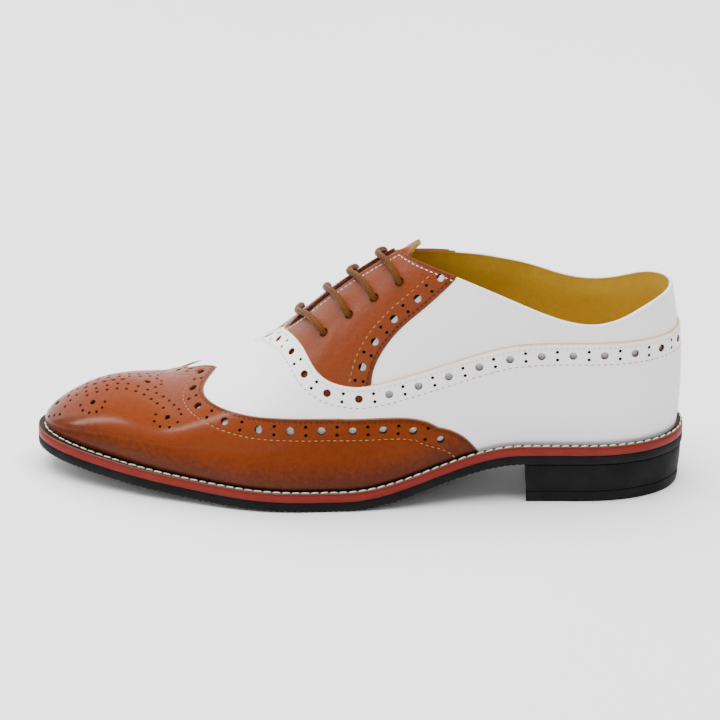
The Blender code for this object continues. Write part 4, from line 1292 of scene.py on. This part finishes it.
def hole_shade_discs(name, holes, lift, centre=()):
    """Small near-black discs of painted shade that close the pin holes, so that they read as deep."""
    points, faces = [], []
    spots = [(side * q, t, r) for q, t, r in holes for side in (1, -1)]
    spots += [(*on_centre(x), r) for x, r in centre]
    for q, t, radius in spots:
        middle = place(q, t, lift)
        normal = outward(q, t)
        first = unit(np.cross(normal, [0.3, 1.0, 0.2]))
        second = np.cross(normal, first)
        turn = (np.arange(FLOOR_SIDES) * 2 * math.pi / FLOOR_SIDES)[:, None]
        start = len(points)
        points.extend(middle + (radius + FLOOR_SPARE) * (np.cos(turn) * first + np.sin(turn) * second))
        faces.append(tuple(range(start, start + FLOOR_SIDES)))
    return dress(add_piece(name, points, faces, [shadow]), "brown_leather")


hole_shade_discs("wing_hole_shade_discs", small_ones(wing_holes) + medallion, WING_UNDER - 0.7, CENTRE_HOLES)
hole_shade_discs("vamp_hole_shade_discs", small_ones(vamp_holes), VAMP_UNDER - 0.3, VAMP_CENTRE_HOLES)
hole_shade_discs("facing_hole_shade_discs", small_ones(facing_holes), FACING_UNDER - 0.4)
print("hole floors made")

# %% [markdown]
# ## Stitches
# A machine stitch is a short length of thread that dives into the leather at both ends. One
# bean-shaped mesh is copied along each row with numpy, turned to the row and the surface, with a
# seeded wobble so that no two are quite alike. All stitches of one row are one object.

# %% Thread materials
def thread(name, light, dark):
    made, tree, shader = blank(name)
    spot = where(tree)
    ply = {"Vector": spot, "Scale": 520.0, "Distortion": 2.0, "Detail": 1.0}
    twist = node(tree, "ShaderNodeTexWave", ply, bands_direction="DIAGONAL").outputs[1]
    fuzz = noise(tree, spot, 900.0, 2.0)
    paint(tree, shader, span(tree, fuzz, 0.3, 0.75), light, dark)
    feed(tree, shader.inputs["Roughness"], span(tree, fuzz, 0.2, 0.8, 0.45, 0.7))
    emboss(tree, shader, twist, 0.00012, 0.6)
    shader.inputs["Specular IOR Level"].default_value = 0.2
    return made


tan_thread = thread("tan_thread", (0.40, 0.24, 0.085, 1), (0.28, 0.15, 0.05, 1))
dark_thread = thread("dark_thread", (0.045, 0.013, 0.006, 1), (0.022, 0.006, 0.003, 1))
lilac_thread = thread("lilac_thread", (0.56, 0.52, 0.58, 1), (0.40, 0.36, 0.43, 1))
white_thread = thread("white_thread", (0.84, 0.80, 0.77, 1), (0.66, 0.60, 0.56, 1))
rope_thread = thread("welt_thread", (0.80, 0.73, 0.60, 1), (0.56, 0.48, 0.36, 1))
print("threads: 5")

# %% Stitch rows
wobble = np.random.default_rng(11)
BEAN_RINGS, BEAN_SIDES = 7, 8
TURN_WOBBLE, SIZE_WOBBLE = 2.5, 0.04


def band(low, high, sides):
    """Faces between two rings of points that start at low and at high."""
    return [(low + i, low + (i + 1) % sides, high + (i + 1) % sides, high + i) for i in range(sides)]


def closed_tube(rings, sides):
    """Faces of a tube of rings with both ends closed."""
    faces = [face for i in range(rings - 1) for face in band(i * sides, (i + 1) * sides, sides)]
    return faces + [tuple(range(sides))[::-1], tuple(range((rings - 1) * sides, rings * sides))]


def bean(length, width, bow):
    """One stitch lying along the first axis, its ends sunk."""
    s = np.linspace(-1, 1, BEAN_RINGS)
    thick = np.sqrt(np.clip(1 - np.abs(s) ** 5, 0.03, 1))
    turn = np.arange(BEAN_SIDES) * 2 * math.pi / BEAN_SIDES
    along = np.repeat(s * length / 2, BEAN_SIDES)
    across = np.outer(thick, np.cos(turn)).ravel() * width / 2
    high = np.outer(thick, np.sin(turn)).ravel() * width * 0.42
    high = high + np.repeat(bow * (1 - 1.7 * s ** 4), BEAN_SIDES)
    return np.column_stack([along, across, high]), closed_tube(BEAN_RINGS, BEAN_SIDES)


def along_path(at, gone, values):
    """Values of a path at given distances along it."""
    return np.column_stack([np.interp(at, gone, values[:, i]) for i in range(3)])


def sew(name, paths, finish, slot, length, pitch, width, bow, slant=0.0):
    """Copies a bean along each path; a path is points and outward normals."""
    shape, shape_faces = bean(length, width, bow)
    points, faces = [], []
    for path, normal in paths:
        gone = travel(path)
        count = int(gone[-1] // pitch)
        if count < 1:
            continue
        at = (np.arange(count) + 0.5) * gone[-1] / count
        spots, before, after = (along_path(at + d, gone, path) for d in (0.0, -0.6, 0.6))
        up = unit(along_path(at, gone, normal))
        ahead = unit(after - before)
        side = unit(np.cross(up, ahead))
        lean = np.radians(slant + wobble.normal(0, TURN_WOBBLE, count))[:, None]
        ahead, side = ahead * np.cos(lean) + side * np.sin(lean), side * np.cos(lean) - ahead * np.sin(lean)
        scale = wobble.normal(1.0, SIZE_WOBBLE, count)[:, None, None]
        level = shape[None, :, :1] * ahead[:, None] + shape[None, :, 1:2] * side[:, None]
        made = spots[:, None] + scale * level + shape[None, :, 2:] * up[:, None]
        for bunch in made:
            start = len(points)
            points.extend(bunch)
            faces.extend(tuple(start + i for i in f) for f in shape_faces)
    piece = dress(add_piece(name, points, faces, [finish]), slot)
    print(name, "faces:", len(faces))
    return piece


def row_paths(row, lift, whole=False):
    """A row on both sides; whole rows run over the ridge in one path."""
    q, t = row
    outer = place(q, t, lift), outward(q, t)
    inner = place(-q, t, lift), outward(-q, t)
    if whole:
        return [(np.vstack([outer[0][::-1], inner[0][1:]]), np.vstack([outer[1][::-1], inner[1][1:]]))]
    return [outer, inner]


def whole_row(seam, distance, lift):
    return row_paths(ridge_row(seam, distance), lift, True)


INNER = {"length": 1.7, "pitch": 2.9, "width": 0.36, "bow": 0.07}
CLOSE = {"length": 1.5, "pitch": 2.45, "width": 0.38, "bow": 0.06}
behind = top_line[facing_top:][::-1]
front = top_line[facing_top::-1]
throat_row = showing(beside(front, 2.3, 1))
collar_row = beside(behind, 2.2, 1)
rear_dark = showing(beside(facing_long, FACING_ROWS[0], 1), 0.01)
rear_tan = showing(beside(facing_long, FACING_ROWS[1], 1), 0.05)
for name, paths, finish, slot, kind in (
    ("wing_inner_stitches", whole_row(wing_seam, WING_ROWS[1], WING_TOP), tan_thread, "brown_leather", INNER),
    ("wing_edge_stitches", whole_row(wing_seam, WING_ROWS[0], WING_TOP), dark_thread, "brown_leather", CLOSE),
    ("vamp_inner_stitches", whole_row(vamp_seam, VAMP_ROWS[1], VAMP_TOP), tan_thread, "white_leather", INNER),
    ("vamp_edge_stitches", whole_row(vamp_seam, VAMP_ROWS[0], VAMP_TOP), lilac_thread, "white_leather", CLOSE),
    ("facing_inner_stitches", row_paths(rear_tan, FACING_TOP), tan_thread, "brown_leather", INNER),
    ("facing_edge_stitches", row_paths(rear_dark, FACING_TOP), dark_thread, "brown_leather", CLOSE),
    ("throat_stitches", row_paths(throat_row, FACING_TOP), white_thread, "brown_leather", CLOSE),
    ("collar_stitches", row_paths(collar_row, QUARTER_TOP), white_thread, "white_leather", CLOSE),
):
    sew(name, paths, finish, slot, **kind)

# %% [markdown]
# ## The tongue
# The tongue lies under the facings and stands free at the top, where its near edge curls up and
# the far one only a little. It is lofted from rows across the shoe: a brown face, and a mustard
# lining that is also wrapped round the edge.

# %% Tongue
TONGUE_TOP, TONGUE_THICK, TONGUE_SWELL = -4.8, 1.7, 3.2
TONGUE_FRONT, TONGUE_BEND = 192.0, 134.0
TONGUE_FREE, TONGUE_SLOPE, TONGUE_FLARE = 13.0, math.radians(43.0), 6.0
TONGUE_WIDTHS = ((134.0, 9.5), (142.0, 13.0), (155.0, 16.0), (175.0, 15.0), (192.0, 11.0))
TONGUE_HALF = columns(TONGUE_WIDTHS, ("along", "half"))["half"]
TONGUE_ACROSS = 33
SWELL_WIDE, SWELL_STARTS, SWELL_DROPS = 4.2, 12.0, 0.85
ROUND_FROM, ROUND_OVER, CURL_FROM, CURL_OVER = 0.55, 0.45, 0.2, 0.8
FAR_CURL = 0.25
CLEAR_OF_WELT = 60.0


def tongue_face(depth):
    """Rows of points across the tongue; it swells up a little between the facings."""
    across = np.linspace(-1, 1, TONGUE_ACROSS)
    rows = []
    for x in np.linspace(TONGUE_FRONT, TONGUE_BEND, 40):
        q = float(round_share(x))
        half = TONGUE_HALF(x)
        t = np.minimum(rise_of_gap(x, np.abs(across) * half), 1.0)
        side = np.where(across >= 0, q, -q)
        swell = TONGUE_SWELL * np.exp(-(across * half / SWELL_WIDE) ** 2)
        swell = swell * smooth((THROAT - x) / SWELL_STARTS)
        out = outward(side, np.where(across == 0, 1.0, t))
        rows.append(skin(side, t) + (TONGUE_TOP + swell - depth)[:, None] * out)
    bend, puff = rows[-1], SWELL_DROPS * swell[:, None] * out
    up = np.array([-math.cos(TONGUE_SLOPE), 0.0, math.sin(TONGUE_SLOPE)])
    lifted = np.array([0.0, 0.0, 1.0])
    middle = SHAPE["centre"](TONGUE_BEND)
    for share in np.linspace(0, 1, 19)[1:]:
        narrow = math.sqrt(1 - 0.5 * max(0.0, (share - ROUND_FROM) / ROUND_OVER) ** 2)
        line = bend - puff * smooth(1.4 * share) + up * share * TONGUE_FREE
        line[:, 1] = middle + (line[:, 1] - middle) * narrow
        curl = TONGUE_FLARE * smooth((share - CURL_FROM) / CURL_OVER)
        curl = curl * np.where(across > 0, 1.0, FAR_CURL) * (across * narrow) ** 2
        rows.append(line + lifted * curl[:, None])
    return np.array(rows)


def make_tongue():
    outer, lined = tongue_face(0.0), tongue_face(TONGUE_THICK)
    rows, wide = outer.shape[:2]
    count = rows * wide
    top, under = [], []
    for i in range(rows - 1):
        for j in range(wide - 1):
            a = i * wide + j
            top.append((a, a + wide, a + wide + 1, a + 1))
            under.append((count + a, count + a + 1, count + a + wide + 1, count + a + wide))
    rim = [i * wide for i in range(rows)] + list(range((rows - 1) * wide + 1, count))
    rim += [i * wide + wide - 1 for i in range(rows - 2, -1, -1)] + list(range(wide - 2, 0, -1))
    walls = [(b, a, count + a, count + b) for a, b in zip(rim, rim[1:] + rim[:1])]
    which = [0] * len(top) + [1] * (len(under) + len(walls))
    points = np.vstack([outer.reshape(-1, 3), lined.reshape(-1, 3)])
    edge = np.tile(distance_from(outer.reshape(-1, 3), outer.reshape(-1, 3)[rim]), 2)
    measures = {"edge_mm": edge, "welt_mm": np.full(len(points), CLEAR_OF_WELT),
                "polish": np.full(len(points), 0.4)}
    made = add_piece("tongue_leather", points, top + under + walls, [cognac, mustard], which, None, measures)
    return dress(made, "tongue_leather", "tongue")


print(make_tongue().name, "rows made")

# %% [markdown]
# ## The laces
# The laces are round, waxed and woven, about three millimetres thick, and lie in loose bars from
# eyelet to eyelet. A plain tube would look like wire, so the tube's radius rises and falls along
# two crossing spirals, as the strands of a braid do, and the cord dives through the eyelets. The
# grooves between the strands are painted dark as shade.

# %% Lace material
lace_cord, tree, shader = blank("waxed_lace")
lace_spot = where(tree)
lace_tone = noise(tree, lace_spot, 420.0, 3.0, 0.6)
# Painted shade: the grooves between the strands are blended towards near black.
lace_groove_shade = measure(tree, "strand")
lace_mix = sums(tree, "MULTIPLY", span(tree, lace_tone, 0.3, 0.7), 0.6)
lace_light = blend_colours(tree, lace_mix, (0.112, 0.041, 0.0075, 1), (0.066, 0.022, 0.0042, 1))
paint(tree, shader, lace_groove_shade, (0.030, 0.010, 0.002, 1), lace_light)
feed(tree, shader.inputs["Roughness"], span(tree, lace_tone, 0.2, 0.8, 0.38, 0.6))
shader.inputs["Specular IOR Level"].default_value = 0.1
emboss(tree, shader, noise(tree, lace_spot, 2600.0), 0.0001, 0.5)
print("lace finish ready")

# %% Lace bars
LACE_RADIUS, LACE_SINK, LACE_CREST = 1.5, 4.3, 2.3
LACE_LEANS = (11.0, 9.5, 10.5, 9.0)
STRANDS, STRAND_TURN, STRAND_DEPTH = 7, 2.9, 0.09
LACE_SIDES, LACE_STEP = 42, 0.26


def lace_path(x, t, lean_by):
    """Centre line of one bar: out of one eyelet, loosely over the throat, close down to the other."""
    q, lean = float(round_share(x)), float(round_share(x + lean_by))

    def between(share, side, lift):
        a, b = (q + share * (lean - q) if side > 0 else -q), t + share * (1.0 - t)
        return skin(a, b) + lift * skin_normal(a, b)

    near = [between(0.0, 1, -LACE_SINK), between(0.0, 1, 0.5), between(0.45, 1, 2.4)]
    crest = skin(lean, 1.0) + LACE_CREST * unit(skin_normal(lean, 1.0) + skin_normal(-lean, 1.0))
    down = ((0.55, 1.2), (0.25, 1.1), (0.0, 0.4), (0.0, -LACE_SINK))
    far = [between(share, -1, lift) for share, lift in down]
    knots = np.array(near + [crest] + far)
    gone = travel(knots)
    at = np.linspace(0, gone[-1], int(gone[-1] / LACE_STEP))
    return np.column_stack([natural_spline(gone, knots[:, i])(at) for i in range(3)])


def make_lace(name, path, solid):
    ahead = unit(np.gradient(path, axis=0))
    side = unit(np.array([1.0, 0.0, 0.0]) - ahead[:, :1] * ahead)
    other = np.cross(ahead, side)
    turn = np.arange(LACE_SIDES) * 2 * math.pi / LACE_SIDES
    gone = travel(path)[:, None]
    one = np.sin(STRANDS * turn + STRAND_TURN * gone)
    two = np.sin(STRANDS * turn - STRAND_TURN * gone)
    strand = 0.5 + 0.5 * np.maximum(one, two)
    radius = LACE_RADIUS - STRAND_DEPTH * (1 - strand)
    ring = np.cos(turn)[None, :, None] * side[:, None] + np.sin(turn)[None, :, None] * other[:, None]
    points = (path[:, None] + radius[..., None] * ring).reshape(-1, 3)
    faces = closed_tube(len(path), LACE_SIDES)
    made = add_piece(name, points, faces, [lace_cord], measures={"strand": strand.ravel()})
    return dress(made, "lace_cord", solid)


for number, ((x, t), lean_by) in enumerate(zip(eyelet_rows, LACE_LEANS), start=1):
    bar = make_lace("lace_bar_%d_woven" % number, lace_path(x, t, lean_by), "lace_bar_%d" % number)
    print(bar.name, "faces:", len(bar.data.polygons))

# %% [markdown]
# ## The sole
# From the ground up the sole is black rubber, a red midsole and a dark welt sewn with thick pale
# thread. Each layer is a stack of closed outlines, every outline a fixed distance outside the
# last, so rounded edges and grooves are just extra outlines. The tread is cut by raising every
# second point of the lowest outline, which also gives the edge its fine teeth.

# %% Sole materials
def rubber(name, light, dark, rough, streak, relief):
    """Moulded or sanded edge: fine streaks round the shoe and a little mottling."""
    made, tree, shader = blank(name)
    spot = where(tree)
    stretch = node(tree, "ShaderNodeMapping", {"Vector": spot, "Scale": streak}).outputs[0]
    lines = noise(tree, stretch, 260.0, 4.0, 0.6)
    cloud = noise(tree, spot, 90.0, 3.0)
    tone = sums(tree, "ADD", scaled(tree, lines, 0.7, -0.1), sums(tree, "MULTIPLY", cloud, 0.4), True)
    paint(tree, shader, tone, light, dark)
    feed(tree, shader.inputs["Roughness"], span(tree, cloud, 0.3, 0.7, *rough))
    shader.inputs["Specular IOR Level"].default_value = 0.12
    emboss(tree, shader, lines, relief, 0.5)
    return made


black_rubber = rubber(
    "black_rubber", (0.0065, 0.0062, 0.0070, 1), (0.003, 0.003, 0.0033, 1),
    rough=(0.55, 0.7), streak=(1.0, 1.0, 1.6), relief=0.0002)
red_edge = rubber(
    "red_midsole", (0.205, 0.022, 0.016, 1), (0.105, 0.009, 0.0065, 1),
    rough=(0.4, 0.55), streak=(0.5, 0.5, 5.0), relief=0.0001)
welt_top = rubber(
    "welt_leather", (0.024, 0.012, 0.008, 1), (0.010, 0.005, 0.004, 1),
    rough=(0.45, 0.6), streak=(1.0, 1.0, 1.0), relief=0.0002)
welt_rim = rubber(
    "welt_pale_rim", (0.15, 0.080, 0.058, 1), (0.07, 0.030, 0.020, 1),
    rough=(0.45, 0.6), streak=(0.6, 0.6, 3.0), relief=0.0001)
print("sole finishes: 4")

# %% Outlines of the sole
SOLE_POINTS = 480


def outline(q, out):
    """Plan outline a given distance outside the widest line."""
    h = 0.0015
    x0, y0 = widest_line(q - h)
    x1, y1 = widest_line(q + h)
    x, y = widest_line(q)
    dx, dy = np.where(np.abs(q) < 1e-9, 0.0, x1 - x0), y1 - y0
    long = np.hypot(dx, dy)
    return np.column_stack([x + dy / long * out, y - dx / long * out])


half_way = np.linspace(0, 1, SOLE_POINTS // 2 + 1)
sole_q = np.concatenate([half_way[:-1], -half_way[:0:-1]])
sole_x = station(sole_q)
HEEL_BACK = SOLE_POINTS // 2


def ring(out, from_last=False):
    """Closed outline; out counts from the sole edge, or from the widest line of the last."""
    reach = (0.0 if from_last else LEDGE_AT(sole_x)) + out
    made = outline(np.where(np.abs(sole_q) > 0.9986, -0.9985, sole_q), reach)
    made[HEEL_BACK] = (-np.broadcast_to(reach, sole_x.shape)[HEEL_BACK], SHAPE["centre"](0.0))
    return made


def across(count, first):
    """Faces that span a closed outline from side to side."""
    half = count // 2
    faces = [(first, first + 1, first + count - 1)]
    for i in range(1, half - 1):
        faces.append((first + i, first + i + 1, first + count - i - 1, first + count - i))
    return faces + [(first + half - 1, first + half, first + half + 1)]


def stack(levels, caps=True, loop=False):
    """Faces and points through a stack of outlines with heights."""
    points = np.vstack([np.column_stack([o, h * np.ones(len(o))]) for o, h in levels])
    n = len(levels[0][0])
    faces = []
    tops = list(range(len(levels) - 1)) + ([len(levels) - 1] if loop else [])
    for level in tops:
        faces += band(level * n, (level + 1) % len(levels) * n, n)
    if caps:
        faces += [f[::-1] for f in across(n, 0)] + across(n, (len(levels) - 1) * n)
    return points, faces


print("sole outline points:", len(sole_q))

# %% Outsole and midsole
TOOTH = 0.32
teeth = TOOTH * (np.arange(SOLE_POINTS) % 2)
ground = tread(sole_x)
tops = {"outsole": OUTSOLE_THICK + 0.12, "midsole": OUTSOLE_THICK + MIDSOLE_THICK + 0.42}
points, faces = stack([
    (ring(-1.2), ground + teeth), (ring(-0.5), ground + 0.25 + teeth),
    (ring(-0.1), ground + 0.9 + 0.6 * teeth), (ring(0.0), ground + 1.7), (ring(0.05), ground + 2.6),
    (ring(0.0), ground + tops["outsole"] - 0.5), (ring(-0.25), ground + tops["outsole"]),
])
outsole = dress(add_piece("outsole_rubber", points, faces, [black_rubber]), "black_rubber", "outsole")
points, faces = stack([
    (ring(-0.3), ground + tops["outsole"]), (ring(-0.02), ground + tops["outsole"] + 0.35),
    (ring(0.03), ground + tops["outsole"] + 1.6), (ring(0.0), ground + tops["midsole"] - 0.5),
    (ring(-0.35), ground + tops["midsole"]),
])
midsole = dress(add_piece("midsole_red", points, faces, [red_edge]), "red_rubber", "midsole")
print("outsole faces:", len(outsole.data.polygons), "midsole faces:", len(midsole.data.polygons))

# %% Heel block
HEEL_LENGTH = 72.0
heel_half = np.linspace(float(round_share(HEEL_LENGTH)), 1.0, 90)
heel_q = np.concatenate([heel_half[:-1], [0.9985], -heel_half[-2::-1]])
HEEL_TIP = 89


def heel_ring(inset):
    made = outline(heel_q, LEDGE_AT(station(heel_q)) - inset)
    made[HEEL_TIP] = (-LEDGE_AT(0.0) + inset, SHAPE["centre"](0.0))
    made[0, 0] -= inset - 0.5
    made[-1, 0] -= inset - 0.5
    return made


def span_heel(first):
    last = first + len(heel_q) - 1
    faces = [(first + i, first + i + 1, last - i - 1, last - i) for i in range(HEEL_TIP - 1)]
    return faces + [(first + HEEL_TIP - 1, first + HEEL_TIP, first + HEEL_TIP + 1)]


heel_levels = ((2.6, 0.0), (2.2, 0.35), (1.75, 2.0), (1.6, 5.2), (1.95, 5.5), (1.95, 5.8), (1.5, 6.1),
               (1.0, 11.0), (0.55, HEEL_HEIGHT - 0.4), (0.7, HEEL_HEIGHT - 0.05))
heel_points, heel_faces = stack([(heel_ring(i), h) for i, h in heel_levels], caps=False)
heel_faces += [f[::-1] for f in span_heel(0)] + span_heel((len(heel_levels) - 1) * len(heel_q))
heel = dress(add_piece("heel_block", heel_points, heel_faces, [black_rubber]), "black_rubber", "heel")
print("heel faces:", len(heel.data.polygons))

# %% Welt and its thread
WELT_FOOT = tops["midsole"]
WELT_RIM_BANDS = 4
ROPE_LEAN = 0.35
welt_levels = (
    (ring(-0.35), WELT_FOOT), (ring(-0.05), WELT_FOOT + 0.2), (ring(-0.1), WELT_FOOT + 0.5),
    (ring(-0.35), WELT_FOOT + 0.7), (ring(-0.5), WELT_FOOT + 0.7), (ring(1.0, True), WELT_FOOT + 0.65),
    (ring(0.85, True), WELT_FOOT + 0.5), (ring(0.4, True), WELT_FOOT + 0.5),
    (ring(-0.3, True), WELT_FOOT + 0.6), (ring(-0.9, True), WELT_FOOT + 0.6), (ring(-0.9, True), WELT_FOOT),
)
points, faces = stack([(o, ground + h) for o, h in welt_levels], caps=False, loop=True)
which = np.zeros(len(faces), int)
which[:WELT_RIM_BANDS * SOLE_POINTS] = 1
dress(add_piece("welt_strip", points, faces, [welt_top, welt_rim], which), "welt_leather", "welt")
rope = np.column_stack([ring(0.75, True), ground + WELT_FOOT + 0.68])
rope = np.vstack([rope, rope[:1]])
rope_ahead = unit(np.gradient(rope, axis=0))
rope_side = np.column_stack([rope_ahead[:, 1], -rope_ahead[:, 0], np.zeros(len(rope))])
rope_up = np.array([0.0, 0.0, 1.0]) + ROPE_LEAN * rope_side
sew("welt_stitches", [(rope, unit(rope_up))], rope_thread, "welt_leather",
    length=3.9, pitch=4.4, width=0.66, bow=0.18, slant=5.0)

# %% [markdown]
# ## The insole
# Inside lies a leather sock over a thin board. It shows through the collar, so its edge is
# rounded and its middle dished a little where a foot rests.

# %% Insole
INSOLE_LEVELS = ((0.0, 0.0), (0.0, 2.2), (0.7, 2.85), (2.0, 3.0), (7.0, 2.8), (13.0, 2.5))
CLEAR_OF_RIM = 3.0
insole_foot = OUTSOLE_THICK + MIDSOLE_THICK + 2 * GAP
wall = -(TUCK - LINING_FACE + 0.6)
points, faces = stack([(ring(wall - inset, True), ground + insole_foot + h) for inset, h in INSOLE_LEVELS])
edge = np.repeat([inset for inset, _ in INSOLE_LEVELS], SOLE_POINTS)
measures = {"edge_mm": edge + CLEAR_OF_RIM, "welt_mm": np.full(len(points), CLEAR_OF_WELT)}
insole = add_piece("insole_sock", points, faces, [mustard], measures=measures)
dress(insole, "lining_leather", "insole")
print("insole faces:", len(insole.data.polygons))

# %% [markdown]
# ## Floor, light and camera
# The shoe stands on a plain pale floor. A wide soft light overhead and a weak one on the near
# side bring out the colours; both are kept out of the reflections. A large sheet behind the toe
# gives the tops their soft haze, and a narrow strip beyond the toe draws the long highlight. The
# camera keeps the viewing angle of the picture: square to the outer side and looking down, with
# a long lens so that the lines stay nearly parallel.

# %% Floor
FLOOR_HALF = 6.0
floor_paper, tree, shader = blank("pale_paper")
paper_tone = span(tree, noise(tree, where(tree), 3.0, 2.0), 0.3, 0.7)
paint(tree, shader, paper_tone, (0.86, 0.86, 0.865, 1), (0.84, 0.84, 0.845, 1))
shader.inputs["Roughness"].default_value = 0.7
floor_mesh = bpy.data.meshes.new("pale_floor")
corners = [(x * FLOOR_HALF, y * FLOOR_HALF, 0.0) for x, y in ((-1, -1), (1, -1), (1, 1), (-1, 1))]
floor_mesh.from_pydata(corners, [], [(0, 1, 2, 3)])
floor_mesh.materials.append(floor_paper)
floor = bpy.data.objects.new("pale_floor", floor_mesh)
bpy.context.scene.collection.objects.link(floor)
print("floor laid")

# %% Lights
LIGHTS = (
    # name, place, aim, width and height, watts, seen in reflections
    ("overhead_box", (0.0, -0.1, 1.6), (0.0, -0.1001, 0.0), (2.2, 2.2), 104.0, False),
    ("near_fill", (0.6, 3.0, 1.2), (0.0, 0.0, 0.05), (2.4, 1.4), 24.0, False),
    ("back_sheet", (1.2, -2.1, 1.3), (0.0, 0.0, 0.1), (4.6, 2.9), 78.0, True),
    ("toe_strip", (1.66, 0.27, 1.33), (0.13, 0.0, 0.05), (0.3, 1.6), 14.0, True),
)
WORLD_TINT, WORLD_GLOW = (1.0, 0.99, 0.97, 1), 0.3


def soft_light(name, place_at, aim_at, size, power, mirrored):
    data = bpy.data.lights.new(name, "AREA")
    data.shape = "RECTANGLE"
    data.size, data.size_y = size
    data.energy = power
    made = bpy.data.objects.new(name, data)
    made.location = place_at
    made.rotation_euler = (Vector(aim_at) - Vector(place_at)).to_track_quat("-Z", "Y").to_euler()
    made.visible_glossy = mirrored
    bpy.context.scene.collection.objects.link(made)


for row in LIGHTS:
    soft_light(*row)
world = bpy.data.worlds.new("studio")
bpy.context.scene.world = world
world.use_nodes = True
sky = world.node_tree.nodes["Background"].inputs
sky[0].default_value, sky[1].default_value = WORLD_TINT, WORLD_GLOW
print("lights:", len(LIGHTS))

# %% Camera
VIEW_SIDE, VIEW_DOWN, VIEW_ROLL = math.radians(-1.5), math.radians(23.0), math.radians(0.4)
VIEW_DISTANCE = 2.44
FRAME_WIDTH = 0.335
SENSOR = 36.0
lowered = math.cos(VIEW_DOWN)
back = Vector((math.sin(VIEW_SIDE) * lowered, math.cos(VIEW_SIDE) * lowered, math.sin(VIEW_DOWN)))
level = Vector((-math.cos(VIEW_SIDE), math.sin(VIEW_SIDE), 0.0))
high = back.cross(level).normalized()
right = level * math.cos(VIEW_ROLL) + high * math.sin(VIEW_ROLL)
up = high * math.cos(VIEW_ROLL) - level * math.sin(VIEW_ROLL)
aim = Vector((0.0, 0.0, 0.056))
lens = bpy.data.cameras.new("shoe_camera")
lens.sensor_width = SENSOR
lens.lens = SENSOR * VIEW_DISTANCE / FRAME_WIDTH
lens.clip_end = 50.0
camera = bpy.data.objects.new("shoe_camera", lens)
spot = aim + back * VIEW_DISTANCE
camera.matrix_world = Matrix((
    (right.x, up.x, back.x, spot.x),
    (right.y, up.y, back.y, spot.y),
    (right.z, up.z, back.z, spot.z),
    (0, 0, 0, 1),
))
bpy.context.scene.collection.objects.link(camera)
bpy.context.scene.camera = camera
print("lens in mm:", round(lens.lens))
